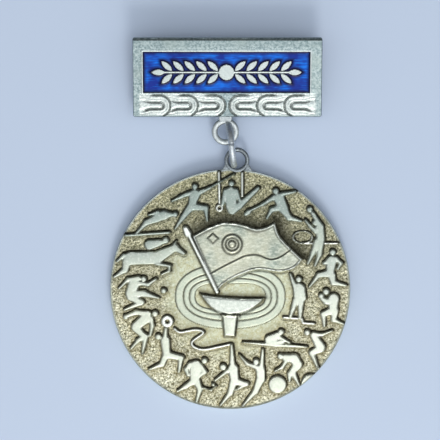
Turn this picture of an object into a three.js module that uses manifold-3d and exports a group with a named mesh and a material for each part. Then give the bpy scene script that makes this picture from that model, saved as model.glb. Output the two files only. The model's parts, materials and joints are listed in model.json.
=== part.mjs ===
// A sports award medal: a struck round disc hangs by a wire jump ring from a pin-back bar.
// Millimetres, +Z up. The medal lies on its back: the disc's flat back is the plane Z = 0 with its
// centre at the origin, +Y runs from the disc towards the bar, and +Z comes out of the face.
import * as THREE from "three";
import { mergeVertices } from "three/addons/utils/BufferGeometryUtils.js";
import Module from "manifold-3d";

const wasm = await Module();
wasm.setup();

const DEG = Math.PI / 180;

// ---------------------------------------------------------------- driving dimensions
// Fits
const seatGap = 0.05; // between two fixed pieces that lie face to face
const runGap = 0.08; // between the hinge rivet and the needle's eye

// Disc
const discRadius = 20;
const fieldHeight = 2.2; // sunk ground between the figures
const rimHeight = 2.35; // a thin low line round the ground
const rimWidth = 0.25;
const rimSlope = 0.15;
const edgeBevel = 0.35;
const reliefHeight = 0.4; // figures above the ground
const trackRelief = 0.22;
const flagRelief = 0.3;
const discSides = 80;

// Disc eyelet, a thin washer at the disc's edge
const discEyeX = 1.1;
const discEyePlay = 0.95; // the hole is wider than the ring's wire by this at each side
const discEyeWall = 0.6;
const discEyeOverWire = 0.35; // eyelet's back above the ring's wire lying under it
const discEyeThickness = 0.9;
const discEyeFootWidth = 4.4;

// Bar
const barWidth = 31.3;
const barHeight = 13.2;
const barThickness = 1.5;
const barCorner = 0.5;
const barBevel = 0.18;
const barCentreX = -0.49;
const barTilt = 13 * DEG; // the upper edge is propped up by the pin

// Enamel panel
const panelWidth = 27.5;
const panelHeight = 6.8;
const panelBottom = 4.1; // from the bar's lower edge
const panelShift = -0.15;
const panelFloor = 0.6; // metal left under the enamel
const enamelSink = 0.12; // enamel surface below the bar's face

// Raised laurel on the enamel
const leafPairs = 5;
const leafPitch = 1.9;
const leafLength = 2.6;
const leafWidth = 1.1;
const leafRise = 1.05; // leaf's middle above or below the stem
const leafAngle = 42 * DEG;
const stemWidth = 0.45;
const rosetteRadius = 1.35;

// Moulded band of horseshoe loops below the panel
const loopPitch = 4.55;
const loopApex = 0.33; // first loop's bend from the bar's centre line
const loopsPerSide = 3;
const loopRadius = 1.68; // to the outside of the rope
const loopInner = 0.88; // to the inside of the rope
const loopTongue = 0.58;
const loopGroove = 0.17; // round the outside of each loop
const loopMiddle = 2.0; // height of the loops' middle line on the bar
const bandSink = 0.3;
const bandBottom = 0.5;
const bandTopMargin = 0.2;
const bandEndMargin = 0.6;

// Bar eyelet
const barEyeX = -0.33; // from the bar's centre line
const barEyeDrop = 2.58; // eyelet centre below the bar's lower edge
const barEyePlay = 1.11; // the hole is wider than the ring's wire by this at each side
const barEyeWall = 0.64;
const barEyeOverWire = 0.1283; // eyelet's lowest edge above the ring's wire lying under it
const barEyeThickness = 0.85;
const barEyeNeck = 2.0;

// Jump ring
const ringRadius = 3.3; // to the middle of the wire
const ringWire = 0.55; // wire radius
const ringLean = 8 * DEG;
const ringX = 0.18;
const discEyeRoom = 0.3099; // between the ring's outside and the disc eyelet's upper inner edge
const barEyeRoom = 0.1019; // the same at the bar's eyelet
const ringSplit = 4 * DEG; // open cut between the wire's ends
const ringSteps = 36;
const ringHalfSides = 6;

// Pin, all measured in the bar's own frame behind its back
const pinHeightOnBar = 8; // from the bar's lower edge
const pinDrop = 2.7; // needle's axis behind the bar's back
const baseLength = 25;
const baseWidth = 4.4;
const baseThickness = 0.5;
const hingeX = -10;
const eyeRadius = 1.3;
const eyeThickness = 0.9;
const rivetShank = 0.55;
const rivetShoulder = 1.1;
const rivetHead = 1.25;
const rivetHeadHeight = 0.4;
const needleRadius = 0.42;
const needleLength = 22.5; // from the hinge to the tip
const needlePoint = 3;
const catchX = 9.3;
const catchLength = 2.2;
const catchInner = 0.85;
const catchWall = 0.45;
const catchMouth = 120 * DEG; // opening towards the bar's lower edge
const fixingX = 5.5;
const fixingShank = 0.7;
const fixingDepth = 0.7;
const fixingHead = 1.3;
const fixingHeadHeight = 0.45;

// ---------------------------------------------------------------- derived places
const discEyeHole = ringWire + discEyePlay;
const discEyeY = discRadius + discEyeHole; // the hole's lower edge meets the disc's edge
const barEyeHole = ringWire + barEyePlay;
const catchOuter = catchInner + catchWall;
// The catch rests on the surface that the disc's back lies on.
const barRise = catchOuter + pinDrop * Math.cos(barTilt) - pinHeightOnBar * Math.sin(barTilt);
const ringHeight = ringRadius + ringWire; // the ring stands on the same surface
const discEyeBottom = 2 * ringWire + discEyeOverWire;
// Both eyelets lie over the ring's lowest wire, so their heights follow its thickness.
const barEyeReach = barEyeDrop + barEyeHole + barEyeWall;
const barEyeLow = 2 * ringWire + barEyeOverWire - barRise + barEyeReach * Math.sin(barTilt);
const barEyeLift = barEyeLow / Math.cos(barTilt); // eyelet's back above the bar's back

// How far from its middle the upright ring, with some room, reaches at a given height.
function ringReach(height, room) {
  return Math.sqrt((ringRadius + ringWire + room) ** 2 - (ringHeight - height) ** 2);
}

const ringY = discRadius + ringReach(discEyeBottom + discEyeThickness, discEyeRoom);
// Upper edge of the bar eyelet's hole on the bar's side: up the bar and out of its back.
const eyeEdgeUp = barEyeHole - barEyeDrop;
const eyeEdgeOut = barEyeLift + barEyeThickness;
const eyeEdgeY = eyeEdgeUp * Math.cos(barTilt) - eyeEdgeOut * Math.sin(barTilt);
const eyeEdgeHeight = barRise + eyeEdgeUp * Math.sin(barTilt) + eyeEdgeOut * Math.cos(barTilt);
const barEdgeY = ringY + ringReach(eyeEdgeHeight, barEyeRoom) - eyeEdgeY;

// ---------------------------------------------------------------- materials
function metal(colour, roughness) {
  return new THREE.MeshStandardMaterial({ color: colour, roughness, metalness: 1 });
}
const barSilver = metal("#b3bcb0", 0.38);
const discSilver = metal("#b5b09b", 0.42);
const ringSteel = metal("#a9b0b8", 0.25);
const pinSteel = metal("#a8a9a6", 0.35);
const rivetAluminium = metal("#b9bbb6", 0.4);
const blueEnamel = new THREE.MeshStandardMaterial({ color: "#123fae", roughness: 0.15, metalness: 0 });

// ---------------------------------------------------------------- solid helpers
function solid(geometry) {
  const bare = geometry.clone();
  bare.deleteAttribute("normal");
  bare.deleteAttribute("uv");
  const merged = mergeVertices(bare, 1e-5);
  return new wasm.Manifold(
    new wasm.Mesh({
      numProp: 3,
      vertProperties: new Float32Array(merged.attributes.position.array),
      triVerts: new Uint32Array(merged.index.array),
    }),
  );
}

function geometryOf(manifold) {
  const mesh = manifold.getMesh();
  const geometry = new THREE.BufferGeometry();
  geometry.setAttribute("position", new THREE.BufferAttribute(mesh.vertProperties, 3));
  geometry.setIndex(new THREE.BufferAttribute(mesh.triVerts, 1));
  const flat = geometry.toNonIndexed();
  flat.computeVertexNormals();
  return flat;
}

function piece(name, manifold, material) {
  const mesh = new THREE.Mesh(geometryOf(manifold), material);
  mesh.name = name;
  return mesh;
}

// A flat outline raised from one height to another.
function prism(shape, bottom, top, segments = 8) {
  const geometry = new THREE.ExtrudeGeometry(shape, {
    depth: top - bottom,
    bevelEnabled: false,
    curveSegments: segments,
  });
  geometry.translate(0, 0, bottom);
  return solid(geometry);
}

function circle(x, y, radius) {
  const shape = new THREE.Shape();
  shape.absarc(x, y, radius, 0, 2 * Math.PI, false);
  return shape;
}

function disc(x, y, radius, bottom, top, segments = 16) {
  return prism(circle(x, y, radius), bottom, top, segments);
}

function rectangle(x0, y0, x1, y1) {
  const shape = new THREE.Shape();
  shape.moveTo(x0, y0);
  shape.lineTo(x1, y0);
  shape.lineTo(x1, y1);
  shape.lineTo(x0, y1);
  shape.closePath();
  return shape;
}

function roundedRectangle(width, height, radius) {
  const shape = new THREE.Shape();
  const x = width / 2 - radius;
  shape.absarc(x, radius, radius, -Math.PI / 2, 0, false);
  shape.absarc(x, height - radius, radius, 0, Math.PI / 2, false);
  shape.absarc(-x, height - radius, radius, Math.PI / 2, Math.PI, false);
  shape.absarc(-x, radius, radius, Math.PI, 1.5 * Math.PI, false);
  return shape;
}

// A straight stroke from one round end to another, which may differ in width.
function stroke(a, b, startRadius, endRadius) {
  const length = Math.hypot(b[0] - a[0], b[1] - a[1]);
  const heading = Math.atan2(b[1] - a[1], b[0] - a[0]);
  const contact = Math.acos((startRadius - endRadius) / length);
  const shape = new THREE.Shape();
  shape.absarc(b[0], b[1], endRadius, heading - contact, heading + contact, false);
  shape.absarc(a[0], a[1], startRadius, heading + contact, heading - contact + 2 * Math.PI, false);
  return shape;
}

function polygon(points) {
  return new THREE.Shape(points.map(([x, y]) => new THREE.Vector2(x, y)));
}

function union(solids) {
  return wasm.Manifold.union(solids);
}

// ---------------------------------------------------------------- disc
function discBlank() {
  const profile = [
    [0, 0],
    [discRadius - edgeBevel, 0],
    [discRadius, edgeBevel],
    [discRadius, rimHeight - edgeBevel / 2],
    [discRadius - edgeBevel / 2, rimHeight],
    [discRadius - rimWidth, rimHeight],
    [discRadius - rimWidth - rimSlope, fieldHeight],
    [0, fieldHeight],
  ].map(([r, z]) => new THREE.Vector2(r, z));
  const geometry = new THREE.LatheGeometry(profile, discSides);
  geometry.rotateX(Math.PI / 2);
  return solid(geometry);
}

function discEyelet() {
  const outer = discEyeHole + discEyeWall;
  const top = discEyeBottom + discEyeThickness;
  const root = discRadius - 0.8;
  const foot = polygon([
    [discEyeX - discEyeFootWidth / 2, root],
    [discEyeX + discEyeFootWidth / 2, root],
    [discEyeX + outer * 0.97, discEyeY - outer * 0.2],
    [discEyeX - outer * 0.97, discEyeY - outer * 0.2],
  ]);
  return union([
    disc(discEyeX, discEyeY, outer, discEyeBottom, top, 32),
    prism(foot, discEyeBottom, top),
  ]);
}

// Each athlete is a silhouette built from strokes: [start radius, end radius, then points x, y].
const athletes = {
  fencer: {
    rounds: [[-5.9, 17.3, 0.52]],
    strokes: [
      [0.75, 0.6, -5.8, 16, -6.5, 13.7],
      [0.4, 0.3, -6.6, 16, -8.4, 15.3, -9.7, 14.7],
      [0.38, 0.3, -5.3, 16.1, -3.2, 16.9],
      [0.16, 0.1, -3.2, 16.9, 0.6, 19.2],
      [0.55, 0.32, -6.3, 13.6, -4.4, 13.5, -3.8, 11.4],
      [0.55, 0.32, -6.7, 13.4, -7.9, 11.9, -9.3, 10.1],
    ],
  },
  gymnastOnRings: {
    rounds: [
      [0.2, 17.6, 0.55],
      [-1.8, 13.7, 0.55],
    ],
    strokes: [
      [0.16, 0.16, -1.9, 19.3, -1.8, 13.8],
      [0.16, 0.16, 2.0, 19.3, 2.1, 15.5],
      [0.85, 0.6, 0, 16.2, -0.1, 13.6],
      [0.34, 0.26, -0.8, 16.4, -1.5, 13.9],
      [0.34, 0.26, 0.9, 16.4, 1.7, 14.9],
      [0.55, 0.3, -0.1, 13.2, 1.2, 14.1, 4.7, 16.9],
    ],
  },
  hockeyPlayer: {
    rounds: [
      [7.5, 16.3, 0.55],
    ],
    strokes: [
      [0.45, 0.4, 3.2, 12.9, 2.5, 12.4],
      [0.8, 0.6, 8.2, 15.4, 8.6, 13.8],
      [0.38, 0.3, 8.6, 15.8, 9.8, 16.1, 11, 16.5],
      [0.38, 0.3, 7.6, 15.4, 5.1, 14],
      [0.18, 0.18, 5.1, 14, 2.9, 12.7],
      [0.52, 0.32, 8.2, 13.6, 7.2, 13.4, 6, 11.7],
      [0.52, 0.32, 8.9, 13.4, 9.8, 11.9, 11.8, 11.4],
    ],
  },
  basketballPlayer: {
    rounds: [
      [13.3, 13.3, 0.5],
      [14, 11.1, 0.52],
    ],
    strokes: [
      [0.34, 0.3, 13.7, 12.8, 14.7, 11.1, 14.8, 10.2],
      [0.34, 0.28, 14.4, 9.5, 13.4, 10.2, 12.4, 11.5],
      [0.68, 0.55, 14.8, 10.3, 15.1, 8.2],
      [0.5, 0.3, 14.9, 7.9, 13.8, 6.3, 12.9, 4.2],
      [0.5, 0.3, 15.2, 7.9, 14.9, 6.2, 14.3, 3.9],
      [0.15, 0.15, 15.4, 7.7, 17.9, 7.6],
    ],
  },
  runner: {
    rounds: [[17, 6.2, 0.52]],
    strokes: [
      [0.7, 0.55, 16.9, 4.8, 16.6, 2.8],
      [0.34, 0.28, 17.4, 5.2, 18.5, 4.4, 17.9, 3.4],
      [0.34, 0.28, 16.4, 4.7, 15.6, 4.2],
      [0.52, 0.3, 16.4, 2.6, 14.7, 2.4, 13.4, 0.5],
      [0.52, 0.3, 16.8, 2.5, 17.2, 1, 19, 0.6],
    ],
  },
  winner: {
    rounds: [[11.4, 1.7, 0.52]],
    strokes: [
      [0.34, 0.28, 11, 0.7, 10.6, 0.4, 10, 2.4],
      [0.7, 0.55, 11.4, 0.4, 11.4, -2],
      [0.45, 0.3, 11, -2.1, 9.9, -4.4],
      [0.45, 0.3, 11.7, -2.1, 11.6, -4.4],
      [0.16, 0.16, 8.9, -4.8, 12, -4.9, 12.1, -5.6, 13.9, -5.7],
    ],
  },
  boxer: {
    rounds: [
      [16, -0.5, 0.52],
      [15.1, -1.2, 0.4],
    ],
    strokes: [
      [0.3, 0.36, 15.1, -1.5, 15.8, -2.3, 16.7, -2],
      [0.7, 0.55, 17.1, -1.5, 17, -3.2],
      [0.48, 0.3, 16.7, -3.4, 15.4, -4.3, 15.7, -6.3],
      [0.48, 0.3, 17.2, -3.5, 16.9, -5, 18.8, -5.7],
    ],
  },
  discusThrower: {
    rounds: [
      [-12.5, -4.2, 0.52],
      [-17.4, -4.6, 0.5],
    ],
    strokes: [
      [0.36, 0.26, -13.8, -4.2, -15.7, -3.9, -17.2, -4.5],
      [0.75, 0.6, -14, -4.8, -15.6, -6.2],
      [0.34, 0.26, -13.2, -4.9, -13, -6.1, -13.5, -7.7],
      [0.55, 0.3, -15.7, -6.5, -14.2, -7.7, -14.8, -10.8],
      [0.45, 0.3, -14.5, -7.8, -15.4, -8.6, -16.3, -9.9],
    ],
  },
  footballer: {
    rounds: [
      [-14.4, 1.6, 0.55],
      [-11.1, -0.3, 0.5],
    ],
    strokes: [
      [0.36, 0.26, -15.4, 1.6, -16.5, 1.6, -18.3, 0.2],
      [0.34, 0.26, -15, 1.1, -13.5, 0.9, -12.4, 1.6],
      [0.72, 0.6, -15.7, 1.1, -16.7, -0.6],
      [0.5, 0.3, -16.4, -0.8, -14.3, -0.7, -12, -1.5],
      [0.5, 0.3, -16.7, -1.1, -14.9, -2.1, -17.6, -3.4],
    ],
  },
  horseAndRider: {
    rounds: [[-10.8, 8.2, 0.5]],
    strokes: [
      [1.0, 0.85, -16.3, 5.3, -13.5, 5],
      [0.85, 0.85, -13.5, 5, -10.9, 5.6],
      [0.75, 0.45, -10.8, 5.9, -9, 7.2],
      [0.5, 0.32, -9, 7.1, -7.8, 5.9],
      [0.5, 0.24, -17.1, 4.9, -17.5, 3.3, -18.9, 2],
      [0.26, 0.16, -17.2, 5.9, -18.6, 4.7],
      [0.42, 0.22, -11.8, 4.6, -10.1, 3.9, -10.2, 2.9, -11.3, 2.5],
      [0.5, 0.42, -13.9, 7.3, -11.5, 7.6],
      [0.36, 0.26, -13.9, 7.2, -13.4, 6.4],
    ],
  },
  skiJumper: {
    rounds: [[-9.1, 12.5, 0.52]],
    strokes: [
      [0.17, 0.17, -17.2, 8.9, -10.1, 9.3],
      [0.55, 0.7, -12.4, 12, -10.2, 12.4],
      [0.52, 0.3, -12.4, 11.9, -13.7, 11.1, -15.5, 9.3],
      [0.34, 0.26, -10.8, 13, -12.1, 13.2, -13.4, 12.4],
    ],
  },
  weightlifter: {
    rounds: [[-11.9, -7.9, 0.52]],
    strokes: [
      [0.3, 0.36, -10.7, -6.6, -11, -8.2],
      [0.7, 0.55, -11, -8.8, -10.6, -10.9],
      [0.52, 0.3, -10.3, -11.1, -8.4, -11.6, -8.6, -13.9],
      [0.52, 0.3, -10.6, -11.4, -11.2, -12.7, -13.5, -13.4],
    ],
  },
  stickPlayer: {
    rounds: [
      [-4.3, -11.9, 0.52],
      [-2.8, -15.9, 0.35],
    ],
    strokes: [
      [0.75, 0.6, -5.8, -12.7, -6.2, -14.8],
      [0.34, 0.26, -6.6, -12.4, -7.4, -13.4, -7.2, -14.1],
      [0.34, 0.26, -5, -12.8, -4.1, -13.7, -5.4, -14.5],
      [0.5, 0.3, -6.5, -15.4, -7, -16.3, -8.7, -17],
      [0.5, 0.3, -5.6, -15.3, -4.8, -16.5, -5.5, -18.6],
      [0.15, 0.15, -4.4, -16.5, -3, -16.8, -2.4, -16.2],
    ],
  },
  ribbonGymnast: {
    rounds: [[-1.2, -13, 0.6]],
    strokes: [
      [0.36, 0.26, 0.2, -12.8, 0.1, -9.4],
      [0.75, 0.55, 0.2, -13.4, 0.6, -15.4],
      [0.34, 0.24, -0.5, -13.6, -2.6, -15.2],
      [0.48, 0.26, 0.7, -15.6, 2.6, -15.8, 0.9, -16.7],
      [0.48, 0.26, 0.5, -15.9, 0, -17.6, -1.5, -19],
    ],
  },
  leaper: {
    rounds: [[4.2, -12.1, 0.52]],
    strokes: [
      [0.34, 0.24, 4.4, -12.9, 2.8, -12.3, 1.6, -11],
      [0.34, 0.24, 5.1, -12.9, 5.4, -10],
      [0.7, 0.5, 4.9, -13.3, 5.1, -14.7],
      [0.52, 0.24, 5.1, -14.9, 4.3, -17, 2.4, -19],
    ],
  },
  cyclist: {
    rounds: [[8.4, -11.3, 0.52]],
    strokes: [
      [0.65, 0.6, 9.4, -11.5, 11, -11.9],
      [0.34, 0.24, 9.2, -12, 8.9, -13, 7.6, -13.8],
      [0.5, 0.26, 11.2, -12.4, 9.9, -14.1, 9.8, -15.3],
      [0.42, 0.26, 11.2, -13, 10.8, -14.4, 11.5, -15.7],
    ],
  },
  diver: {
    rounds: [[12.8, -7.2, 0.52]],
    strokes: [
      [0.65, 0.6, 13.9, -8.1, 15, -9.6],
      [0.34, 0.24, 14.2, -7.8, 15.6, -7.7, 17, -7],
      [0.52, 0.26, 15.1, -9.9, 13.5, -10.7, 14.4, -13],
    ],
  },
  rower: {
    rounds: [[8.4, -7.2, 0.52]],
    strokes: [
      [0.6, 0.55, 7.7, -7.7, 6.3, -8.5],
      [0.3, 0.24, 8.2, -7.9, 9.8, -8.9],
      [0.18, 0.4, 2.4, -8.9, 7.5, -9.4],
      [0.4, 0.18, 7.5, -9.4, 12.6, -9.8],
    ],
  },
};

const barbellPlate = { x: -10.5, y: -5.4, outer: 1.17, inner: 0.32 };
const hoop = { x: 12.4, y: 8.5, outer: 1.65, inner: 1.35 };
// Large plain balls: x, y, radius.
const balls = [
  [7.85, -15.9, 1.54],
  [13.4, -15.7, 1.6],
];
const ribbonPath = [
  [-9.3, -6.7],
  [-8.2, -7.2],
  [-5.6, -6.8],
  [-4.5, -7.3],
  [-6.4, -8.9],
  [-5.8, -9.9],
  [-4.4, -10.1],
  [-1.7, -9.5],
  [0, -9.2],
];

function strokesAlong(points, startRadius, endRadius, bottom, top) {
  const solids = [];
  const last = points.length - 1;
  for (let i = 0; i < last; i += 1) {
    const from = startRadius + ((endRadius - startRadius) * i) / last;
    const to = startRadius + ((endRadius - startRadius) * (i + 1)) / last;
    solids.push(prism(stroke(points[i], points[i + 1], from, to), bottom, top, 1));
  }
  return solids;
}

function athlete(figure, bottom, top) {
  const solids = figure.rounds.map(([x, y, r]) => disc(x, y, r, bottom, top, 4));
  for (const [startRadius, endRadius, ...flat] of figure.strokes) {
    const points = [];
    for (let i = 0; i < flat.length; i += 2) {
      points.push([flat[i], flat[i + 1]]);
    }
    solids.push(...strokesAlong(points, startRadius, endRadius, bottom, top));
  }
  return union(solids);
}

function annulus({ x, y, outer, inner }, bottom, top) {
  const shape = circle(x, y, outer);
  shape.holes.push(circle(x, y, inner));
  return prism(shape, bottom, top, 8);
}

// The running track: nested oval lanes round the middle of the disc.
const trackCentre = [0, -1.2];
const trackReach = [9.15, 5.4];
const laneWidth = 0.75;
const laneGap = 0.55;
const laneCount = 3;

function ovalRing(rx, ry, width, bottom, top) {
  const shape = new THREE.Shape();
  shape.absellipse(trackCentre[0], trackCentre[1], rx, ry, 0, 2 * Math.PI, false, 0);
  const hole = new THREE.Path();
  hole.absellipse(trackCentre[0], trackCentre[1], rx - width, ry - width, 0, 2 * Math.PI, false, 0);
  shape.holes.push(hole);
  return prism(shape, bottom, top, 22);
}

function track(bottom, top) {
  const lanes = [];
  for (let lane = 0; lane < laneCount; lane += 1) {
    const inset = lane * (laneWidth + laneGap);
    lanes.push(ovalRing(trackReach[0] - inset, trackReach[1] - inset, laneWidth, bottom, top));
  }
  return union(lanes);
}

// The flag: a waving cloth on a pole, with a plain roundel.
function flagShape() {
  const shape = new THREE.Shape();
  shape.moveTo(-6.3, 8.9);
  shape.bezierCurveTo(-4.2, 10.2, -2, 11.2, 0.2, 11.1);
  shape.bezierCurveTo(2.5, 10.9, 3.8, 9.7, 5.5, 10.3);
  shape.quadraticCurveTo(6.6, 10.6, 7.4, 11.1);
  shape.quadraticCurveTo(8.4, 8.1, 12.1, 4.9);
  shape.quadraticCurveTo(10.4, 2.8, 7.7, 3);
  shape.bezierCurveTo(5.8, 3.2, 3.9, 3.4, 1.9, 2.4);
  shape.quadraticCurveTo(-0.6, 1.3, -2.2, -0.5);
  shape.closePath();
  return shape;
}

function flag(bottom) {
  const cloth = prism(flagShape(), bottom, bottom + flagRelief, 8);
  const poleTop = bottom + reliefHeight + 0.05;
  const pole = prism(stroke([-6.9, 9], [-2.2, -0.5], 0.28, 0.24), bottom, poleTop, 3);
  const knob = disc(-7.2, 9.5, 0.55, bottom, poleTop, 10);
  const roundel = annulus({ x: 0.4, y: 7.5, outer: 1.5, inner: 0.95 }, bottom, bottom + reliefHeight);
  const band = strokesAlong(
    [
      [-3.5, 2.6],
      [0.8, 4.8],
      [4.6, 5.8],
      [7.6, 5.1],
      [10.3, 6.5],
    ],
    0.2,
    0.2,
    bottom,
    bottom + reliefHeight,
  );
  return union([cloth, pole, knob, roundel, ...band]);
}

// The torch: a wide shallow bowl on a tapering stem with a collar.
function torch(bottom, top) {
  const bowl = new THREE.Shape();
  bowl.moveTo(-5.1, -0.7);
  bowl.quadraticCurveTo(0.2, -2.6, 5.6, -1.5);
  bowl.bezierCurveTo(4.4, -3.4, 2.4, -4.3, 0.2, -4.2);
  bowl.bezierCurveTo(-2.3, -4.0, -4.3, -2.7, -5.1, -0.7);
  const stem = polygon([
    [-1.25, -3.9],
    [1.15, -4.0],
    [0.7, -7.9],
    [-1.0, -7.8],
  ]);
  const collar = stroke([-1.4, -4.35], [1.3, -4.45], 0.3, 0.3);
  const collarTop = top + 0.05;
  return union([
    prism(bowl, bottom, top, 8),
    prism(stem, bottom, top),
    prism(collar, bottom, collarTop, 4),
  ]);
}

function medalDisc() {
  // Relief starts inside the blank so that the join is sound.
  const root = fieldHeight - 0.4;
  const top = fieldHeight + reliefHeight;
  const figures = Object.values(athletes).map((figure) => athlete(figure, root, top));
  const middle = [
    track(root, fieldHeight + trackRelief),
    torch(root, top),
    flag(root + 0.4),
    annulus(barbellPlate, root, top),
    annulus(hoop, root, top),
    ...balls.map(([x, y, radius]) => disc(x, y, radius, root, top, 10)),
    ...strokesAlong(ribbonPath, 0.2, 0.2, root, top),
  ];
  const flagBed = prism(flagShape(), root, fieldHeight + 0.01, 8);
  const trackCut = prism(flagShape(), fieldHeight, fieldHeight + 1, 8);
  const relief = union([middle[0].subtract(trackCut), flagBed, ...middle.slice(1), ...figures]);
  const inside = disc(0, 0, discRadius - edgeBevel / 2, 0, top + 1, discSides / 2);
  const blank = union([discBlank(), discEyelet()]);
  const hole = disc(discEyeX, discEyeY, discEyeHole, -1, rimHeight + 1, 28);
  return union([blank, relief.intersect(inside)]).subtract(hole);
}

// ---------------------------------------------------------------- bar, in its own frame
// X along the bar, Y up the bar from its lower edge, Z out of its face from its back.
function leaf(x, y, angle, grow) {
  const half = leafLength / 2 + 1.5 * grow;
  const bulge = leafWidth + 2 * grow;
  const shape = new THREE.Shape();
  const turn = (px, py) => [
    x + px * Math.cos(angle) - py * Math.sin(angle),
    y + px * Math.sin(angle) + py * Math.cos(angle),
  ];
  shape.moveTo(...turn(-half, 0));
  shape.quadraticCurveTo(...turn(0, -bulge), ...turn(half, 0));
  shape.quadraticCurveTo(...turn(0, bulge), ...turn(-half, 0));
  return shape;
}

const panelMiddle = panelBottom + panelHeight / 2;

// Two laurel sprays run outwards from a rosette in the middle of the panel.
function laurel(bottom, top, grow = 0) {
  const solids = [disc(panelShift, panelMiddle, rosetteRadius + grow, bottom, top, 10)];
  const stemHalf = stemWidth / 2 + grow;
  const reach = rosetteRadius + leafPairs * leafPitch;
  for (const side of [-1, 1]) {
    const start = [panelShift, panelMiddle];
    const end = [panelShift + side * reach, panelMiddle];
    solids.push(prism(stroke(start, end, stemHalf, stemHalf), bottom, top, 2));
    for (let pair = 0; pair < leafPairs; pair += 1) {
      const x = panelShift + side * (rosetteRadius + 0.9 + pair * leafPitch);
      for (const rise of [-1, 1]) {
        const angle = side > 0 ? rise * leafAngle : Math.PI - rise * leafAngle;
        solids.push(prism(leaf(x, panelMiddle + rise * leafRise, angle, grow), bottom, top, 4));
      }
    }
    solids.push(prism(leaf(end[0] + side * 0.4, end[1], 0, grow), bottom, top, 4));
  }
  return union(solids);
}

function panelShape(inset) {
  return rectangle(
    panelShift - panelWidth / 2 + inset,
    panelBottom + inset,
    panelShift + panelWidth / 2 - inset,
    panelBottom + panelHeight - inset,
  );
}

// Loops of rope, each open towards the bar's end on its side and lying over the one before it.
function moulding(end, bottom, top) {
  const sides = [-1, 1].map((side) => {
    const lying = (apex, radius) => {
      const bend = [side * (apex + loopRadius), loopMiddle];
      const far = [side * (end + loopRadius), loopMiddle];
      return prism(stroke(bend, far, radius, radius), bottom, top, 5);
    };
    let row = null;
    for (let i = 0; i < loopsPerSide; i += 1) {
      const apex = loopApex + i * loopPitch;
      const rope = lying(apex, loopRadius).subtract(lying(apex, loopInner));
      const loop = union([rope, lying(apex, loopTongue)]);
      row = row ? union([row.subtract(lying(apex, loopRadius + loopGroove)), loop]) : loop;
    }
    return row;
  });
  return union(sides);
}

function barBlank() {
  const outline = roundedRectangle(barWidth - 2 * barBevel, barHeight - 2 * barBevel, barCorner);
  const geometry = new THREE.ExtrudeGeometry(outline, {
    depth: barThickness - 2 * barBevel,
    bevelEnabled: true,
    bevelThickness: barBevel,
    bevelSize: barBevel,
    bevelSegments: 1,
    curveSegments: 4,
  });
  geometry.translate(0, barBevel, barBevel);
  return solid(geometry);
}

function barEyelet() {
  const outer = barEyeHole + barEyeWall;
  const top = barEyeLift + barEyeThickness;
  const neck = rectangle(
    barEyeX - barEyeNeck / 2,
    barEyeHole - barEyeDrop,
    barEyeX + barEyeNeck / 2,
    panelBottom / 2,
  );
  const ring = disc(barEyeX, -barEyeDrop, outer, barEyeLift, top, 32);
  return union([ring, prism(neck, barEyeLift, top)]);
}

function barPlate() {
  const face = barThickness;
  const pocket = prism(panelShape(0), panelFloor, face + 1);
  const bandTop = panelBottom - bandTopMargin;
  const bandEnd = barWidth / 2 - bandEndMargin;
  const bandShape = rectangle(-bandEnd, bandBottom, bandEnd, bandTop);
  const band = prism(bandShape, face - bandSink, face + 1);
  const loops = moulding(bandEnd, face - bandSink - 0.2, face).intersect(prism(bandShape, 0, face));
  const eyeHole = disc(barEyeX, -barEyeDrop, barEyeHole, -1, face + 1, 28);
  let plate = union([barBlank(), barEyelet()]).subtract(pocket).subtract(band);
  plate = union([plate, laurel(panelFloor - 0.2, face), loops]).subtract(eyeHole);
  for (const x of [-fixingX, fixingX]) {
    plate = plate.subtract(disc(x, pinHeightOnBar, fixingShank + seatGap, -1, fixingDepth - 0.25, 12));
  }
  return plate;
}

function enamelFill() {
  const body = prism(panelShape(seatGap), panelFloor + seatGap, barThickness - enamelSink);
  return body.subtract(laurel(panelFloor - 0.5, barThickness + 1, seatGap));
}

// ---------------------------------------------------------------- pin assembly, in the bar's frame
const baseTop = -seatGap;
const baseBottom = baseTop - baseThickness;

function pinBase() {
  const strip = roundedRectangle(baseLength, baseWidth, 1);
  let base = prism(strip, baseBottom, baseTop, 4).translate([0, pinHeightOnBar - baseWidth / 2, 0]);
  for (const x of [-fixingX, fixingX]) {
    base = base.subtract(disc(x, pinHeightOnBar, fixingShank + seatGap, -2, 1, 12));
  }
  return base.subtract(disc(hingeX, pinHeightOnBar, rivetShank + seatGap, -2, 1, 12));
}

function fixingRivet(x) {
  const top = fixingDepth - 0.25 - seatGap;
  const under = baseBottom - seatGap;
  const shank = disc(x, pinHeightOnBar, fixingShank, under - 0.1, top, 12);
  const head = disc(x, pinHeightOnBar, fixingHead, under - fixingHeadHeight, under, 16);
  return union([shank, head]);
}

// A shouldered pin: the shoulder stands on the base and the head keeps the needle's eye on.
function hingeRivet() {
  const eyeTop = -pinDrop + eyeThickness / 2 + runGap;
  const eyeBottom = -pinDrop - eyeThickness / 2 - runGap;
  const shoulder = disc(hingeX, pinHeightOnBar, rivetShoulder, eyeTop, baseBottom - seatGap, 16);
  const shank = disc(hingeX, pinHeightOnBar, rivetShank, eyeBottom - 0.1, baseTop - 0.02, 12);
  const head = disc(hingeX, pinHeightOnBar, rivetHead, eyeBottom - rivetHeadHeight, eyeBottom, 16);
  return union([shoulder, shank, head]);
}

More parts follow.
